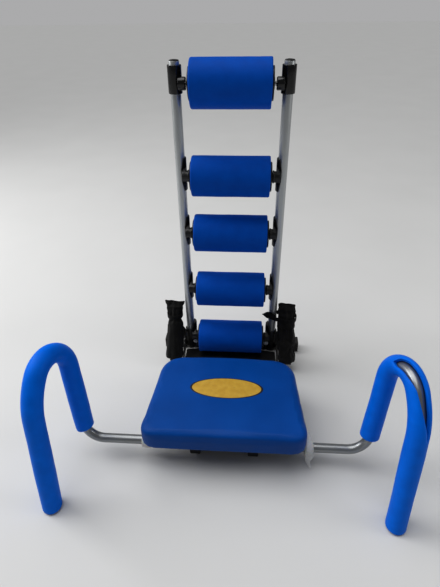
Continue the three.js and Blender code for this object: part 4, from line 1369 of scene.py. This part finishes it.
def add_axle(name, body, height, half, node):
    place = moved(0, ROLLER_Y, height) @ ALONG_X
    rod = eased([(0, -half), (AXLE_RADIUS, -half), (AXLE_RADIUS, half), (0, half)], 0.5, 2)
    Solid().skin(turned(rod, 32), place=place).piece(name, ZINC, body, [node])


def add_back_rollers():
    for number, height in enumerate(ROLLER_HEIGHTS, 1):
        lowest = number == len(ROLLER_HEIGHTS)
        add_roller(f"back_roller_{number}", f"roller_{number}", height, ROLLER_HALF, ROLLER_RADIUS,
                   f"roller_pad_{number}", f"roller_core_{number}")
        for name, side in SIDES:
            add_saddle(number, name, side, height, lowest)
        reach = UPRIGHT_X - (SOCKET_RADIUS if lowest else UPRIGHT_RADIUS) - 0.5
        add_axle(f"back_axle_{number}", "back_frame", height, reach, f"roller_axle_{number}")
    add_saddle_screws(ROLLER_HEIGHTS[-1])


def add_headrest():
    add_roller("head_roller", "head_roller", HEAD_Z, HEAD_HALF, HEAD_RADIUS, "headrest_pad", "headrest_core")
    reach = UPRIGHT_X - UPRIGHT_RADIUS - 1.8
    add_axle("head_axle", "headrest", HEAD_Z, reach, "headrest_axle")
    start, end, bore = HEAD_HALF + HUB_TIP + 3.5, UPRIGHT_X - 8, AXLE_RADIUS + 0.3
    boss = eased([(bore, start), (10, start), (11.5, start + 1.5), (11.5, end), (bore, end)], 0.6, 3)
    tube = pipe(UPRIGHT_RADIUS + 0.4, SOCKET_RADIUS, SLEEVE_BOTTOM, SLEEVE_TOP, 1.1, 64, 4)
    for name, side in SIDES:
        sleeve = Solid().skin(tube, True, mirror(side) @ moved(UPRIGHT_X, 0, 0))
        sleeve.skin(turned(boss, 44), True, mirror(side) @ moved(0, ROLLER_Y, HEAD_Z) @ ALONG_X)
        sleeve.piece(f"head_sleeve_{name}", GLOSS_BLACK, "headrest", [f"headrest_sleeve_{name}"])


# ---------------------------------------------------------------- springs and their covers
def on_spring(share, across=0.0, out=0.0):
    """A point on the spring's line, moved across it (X) and out from it."""
    line = (SPRING_HIGH - SPRING_LOW).normalized()
    side = Vector((1, 0, 0))
    return SPRING_LOW.lerp(SPRING_HIGH, share) + side * across + line.cross(side) * out


def spring_hook(y, z, radius, first, last):
    """An open hook round a point, from the first angle up to the last, in degrees."""
    turns = [radians(degree) for degree in range(first, last, 25)]
    return [Vector((SPRING_X, y + radius * cos(a), z + radius * sin(a))) for a in turns]


def add_spring(name, side):
    """A coil spring with a hook round the floor frame's pin and one through the eye of the socket's arm."""
    turns, steps, radius, wire = 13, 16, 9.0, 1.5
    coil_start, coil_end = 0.13, 0.47
    count = turns * steps
    route = spring_hook(PIN_Y, PIN_Z, 5.6, -150, 60)
    for k in range(count + 1):
        a = 2 * pi * k / steps
        grow = min(1.0, 0.35 + k / steps, 0.35 + (count - k) / steps)
        share = coil_start + (coil_end - coil_start) * k / count
        route.append(on_spring(share, radius * grow * cos(a), radius * grow * sin(a)))
    route += spring_hook(ARM_Y + 1.5, ARM_Z, 4.6, -80, 130)
    route = mirrored(fillet(route, 1.5, 2), side)
    spring = Solid().skin(swept(route, circle(wire, sides=10))).object(f"spring_coil_{name}")
    settle(spring, SPRING_STEEL, None, [f"resistance_spring_{name}"])
    bridge(spring)


def bridge(piece):
    """Bakes the placement of a piece that spans the floor frame and the back frame into its mesh."""
    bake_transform(piece)


# Half widths of the covers, (share of the way up, across, front to back): the top hem is pressed flat.
COVER_SIZES = {
    -1: [(0.0, 23.5, 21), (0.25, 20.5, 19), (0.55, 19, 18), (0.72, 17.6, 16.8), (0.80, 16.6, 15.5),
         (0.90, 20, 12), (1.0, 23.5, 5.5)],
    1: [(0.0, 23, 21), (0.3, 21.5, 19.5), (0.6, 20.4, 18.5), (0.80, 19.6, 17), (0.90, 20.6, 13),
        (1.0, 21, 7)],
}


def cover_size(share, side):
    for (low, across_a, deep_a), (high, across_b, deep_b) in zip(COVER_SIZES[side], COVER_SIZES[side][1:]):
        if share <= high:
            t = smoothstep(low, high, share)
            return across_a + (across_b - across_a) * t, deep_a + (deep_b - deep_a) * t
    return COVER_SIZES[side][-1][1:]


def cover_rings(side):
    """The folds of a cover before it settles: pleats drawn in at the strap, and an uneven top hem."""
    rows, columns, pleats = 64, 64, 9
    seed = 11.0 if side > 0 else 3.0
    rings = []
    for r in range(rows + 1):
        share = r / rows
        across, deep = cover_size(share, side)
        tied = exp(-((share - STRAP_SHARE) / 0.09) ** 2)
        ring = []
        for c in range(columns):
            a = 2 * pi * c / columns
            around = Vector((cos(a), sin(a), 0))
            fold = ripple(around * 1.5 + Vector((0, 0, share * 1.3)), 0.5, seed)
            pleat = sin(pleats * a + seed) * (0.35 + 0.65 * tied)
            swell = 1.5 * fold + 1.1 * pleat
            lift = 2.5 * ripple(around * 1.4, 1.0, seed + 5) * smoothstep(0.9, 1.0, share)
            lift += 2.6 * max(0.0, -side * around.x) * smoothstep(0.85, 1.0, share)
            inward = -3.0 * smoothstep(0.2, 1.0, share) if side > 0 else 0.0
            place = on_spring(share, (across + swell) * around.x + inward, (deep + swell) * around.y)
            ring.append(place + Vector((0, 0, lift)))
        rings.append(mirrored(ring, side))
    return rings


def add_cover(name, side):
    """A sewn cloth sleeve over a spring, longer than the gap that it spans, so that it falls into folds."""
    sheet = Solid().skin(cover_rings(side))
    del sheet.faces[-2:]
    cover = sheet.object(f"spring_sleeve_{name}", sharp=180)
    length = (SPRING_HIGH - SPRING_LOW).length
    line = (SPRING_HIGH - SPRING_LOW).normalized()
    foot = mirrored([SPRING_LOW], side)[0]

    def held(p):
        """The cloth is held under the strap, at its foot and at its top hem."""
        share = (p - foot).dot(line) / length
        return 1.0 if abs(share - STRAP_SHARE) < 0.03 or share < 0.02 or share > 0.97 else 0.0
    simulate(cover, held, 30, 5, shrink_min=-0.07, tension_stiffness=15, compression_stiffness=15,
             shear_stiffness=6, bending_stiffness=0.3, quality=7, mass=0.15, air_damping=3.0)
    keep_clear(cover, side)
    thick = cover.modifiers.new("cloth_thickness", "SOLIDIFY")
    thick.thickness = 0.9 * MM
    thick.offset = 0
    cover = evaluated_copy(cover, f"spring_sleeve_{name}")
    shade_smooth(cover.data)
    settle(cover, COVER_CLOTH, None, [f"spring_cover_{name}"])
    bridge(cover)
    add_subdivision(cover)


def keep_clear(cover, side):
    """Pushes the cover's points out of the hinge plate and the socket beside it."""
    def push(p, _):
        nearest = UPRIGHT_X + SOCKET_RADIUS + 6.0
        if p.z < HINGE_Z + 18 and p.y > PIN_Y - 12 and abs(p.x) < nearest:
            return Vector((side * (nearest - abs(p.x)), 0, 0))
        return Vector((0, 0, 0))
    move_points(cover, push)


def strap_loop(circles):
    """The tight path in plan round two circles, each (x, y, radius)."""
    steps = 20
    (x1, y1, r1), (x2, y2, r2) = circles
    gap, heading = hypot(x2 - x1, y2 - y1), atan2(y2 - y1, x2 - x1)
    flare = acos((r1 - r2) / gap)
    route = []
    for x, y, r, start, end in ((x1, y1, r1, flare, 2 * pi - flare), (x2, y2, r2, -flare, flare)):
        for k in range(steps + 1):
            a = heading + start + (end - start) * k / steps
            route.append(Vector((x + r * cos(a), y + r * sin(a), 0)))
    return route


def strap_band(path, side):
    """Rings of a flat strap round a closed path in plan, a little uneven along its length."""
    rings = []
    for i, p in enumerate(path):
        ahead, behind = path[(i + 1) % len(path)], path[i - 1]
        out = (ahead - behind).normalized().cross(UP)
        level = STRAP_Z + 0.5 * sin(i * 0.7)
        high = STRAP_HALF * (1 - 0.04 * sin(i))
        ring = []
        for along, z in ((0, -high), (STRAP_THICKNESS, -high), (STRAP_THICKNESS, high), (0, high)):
            q = p + out * along
            ring.append((side * q.x, q.y, level + z))
        rings.append(ring)
    return rings


def strap_tail():
    """Rings of the right strap's loose end: it widens like a leaf, then narrows to a point."""
    front = -UPRIGHT_RADIUS
    route = resampled(fillet([
        (UPRIGHT_X + 9, front - 4.4, STRAP_Z + 4), (UPRIGHT_X - 4, front - 4.2, STRAP_Z + 7),
        (UPRIGHT_X - 16, front + 2, STRAP_Z + 6), (UPRIGHT_X - 26, 2, STRAP_Z + 1)], 7, 6), 1.6)
    last = len(route) - 1
    rings = []
    for i, p in enumerate(route):
        t = i / last
        width = (0.9 + 0.75 * smoothstep(0.0, 0.45, t)) * (1 - 0.93 * smoothstep(0.5, 1.0, t) ** 1.2)
        out = (route[min(i + 1, last)] - route[max(i - 1, 0)]).normalized().cross(UP)
        curl = 0.8 * sin(5 * t)
        rings.append([p + out * (along + curl) + Vector((0, 0, z * STRAP_HALF * width))
                      for along, z in ((0, -1), (STRAP_THICKNESS, -1), (STRAP_THICKNESS, 1), (0, 1))])
    return rings


def add_straps():
    """The left strap ties its cover alone; the right one goes round its cover and the upright."""
    cover_y = SPRING_LOW.y + STRAP_SHARE * (SPRING_HIGH.y - SPRING_LOW.y)
    across, deep = 18.2, 18.6
    oval = [Vector((SPRING_X + across * p[0], cover_y + deep * p[1], 0)) for p in circle(1)]
    left = resampled(oval + [oval[0]], 3)[:-1]
    Solid().skin(strap_band(left, -1), True).piece(
        "cover_tie_left", WEBBING, "back_frame", ["cover_strap_left"], bevel=0.3)
    loop = strap_loop([(SPRING_X, cover_y, 21.0), (UPRIGHT_X, 0, UPRIGHT_RADIUS + 0.6)])
    right = resampled(loop + [loop[0]], 3)[:-1]
    tie = Solid().skin(strap_band(right, 1), True).skin(strap_tail())
    tie.piece("cover_tie_right", WEBBING, "back_frame", ["cover_strap_right"], bevel=0.3)


# ---------------------------------------------------------------- scene
def add_stage():
    size = 14.0
    mesh = bpy.data.meshes.new("studio_floor")
    corners = [(-size, -size, 0), (size, -size, 0), (size, size, 0), (-size, size, 0)]
    mesh.from_pydata(corners, [], [(0, 1, 2, 3)])
    mesh.materials.append(floor_look())
    floor = bpy.data.objects.new("studio_floor", mesh)
    scene.collection.objects.link(floor)

    world = bpy.data.worlds.new("studio")
    world.use_nodes = True
    add_world(world.node_tree)
    scene.world = world
    add_light("window", "AREA", (-2.0, 0.35, 1.5), 34, size=1.3)
    add_light("room", "SUN", (-0.5, 0.15, 2.0), 1.9, angle=radians(55))
    add_light("side_fill", "AREA", (1.9, -0.2, 1.2), 7, size=0.8)


def add_world(tree):
    """Soft fill light; straight behind the object the studio's backdrop is as pale as its floor."""
    background = tree.nodes["Background"]
    background.inputs["Color"].default_value = rgb(0.80, 0.81, 0.82)
    background.inputs["Strength"].default_value = 0.20
    backdrop = tree.nodes.new("ShaderNodeBackground")
    backdrop.inputs["Color"].default_value = rgb(0.46, 0.46, 0.465)
    seen = tree.nodes.new("ShaderNodeLightPath")
    mix = tree.nodes.new("ShaderNodeMixShader")
    tree.links.new(seen.outputs["Is Camera Ray"], mix.inputs["Fac"])
    tree.links.new(background.outputs[0], mix.inputs[1])
    tree.links.new(backdrop.outputs[0], mix.inputs[2])
    tree.links.new(mix.outputs[0], tree.nodes["World Output"].inputs["Surface"])


def add_light(name, kind, place, power, **settings):
    light = bpy.data.lights.new(name, kind)
    light.energy = power
    for key, value in settings.items():
        setattr(light, key, value)
    lamp = bpy.data.objects.new(name, light)
    lamp.location = place
    lamp.rotation_euler = (Vector((0, 0, 0.2)) - lamp.location).to_track_quat("-Z", "Y").to_euler()
    scene.collection.objects.link(lamp)


def add_camera():
    data = bpy.data.cameras.new("camera")
    data.sensor_width = 36
    data.lens = 26.99
    camera = bpy.data.objects.new("camera", data)
    scene.collection.objects.link(camera)
    camera.location = Vector((39.0, -876.9 + ORIGIN_Y, 804.7)) * MM
    heading, pitch, roll = radians(4.29), radians(34.69), radians(-0.89)
    level = Vector((-sin(heading), cos(heading), 0))
    ahead = level * cos(pitch) - Vector((0, 0, sin(pitch)))
    camera.rotation_mode = "QUATERNION"
    camera.rotation_quaternion = ahead.to_track_quat("-Z", "Y") @ Quaternion((0, 0, 1), roll)
    scene.camera = camera
    scene.view_settings.view_transform = "Standard"
    scene.view_settings.gamma = 0.86


add_stage()
add_camera()
add_floor_frame()
add_hinges()
add_seat()
add_handles()
add_film()
add_uprights()
add_back_rollers()
add_headrest()
for side_name, side_sign in SIDES:
    add_spring(side_name, side_sign)
    add_cover(side_name, side_sign)
add_straps()
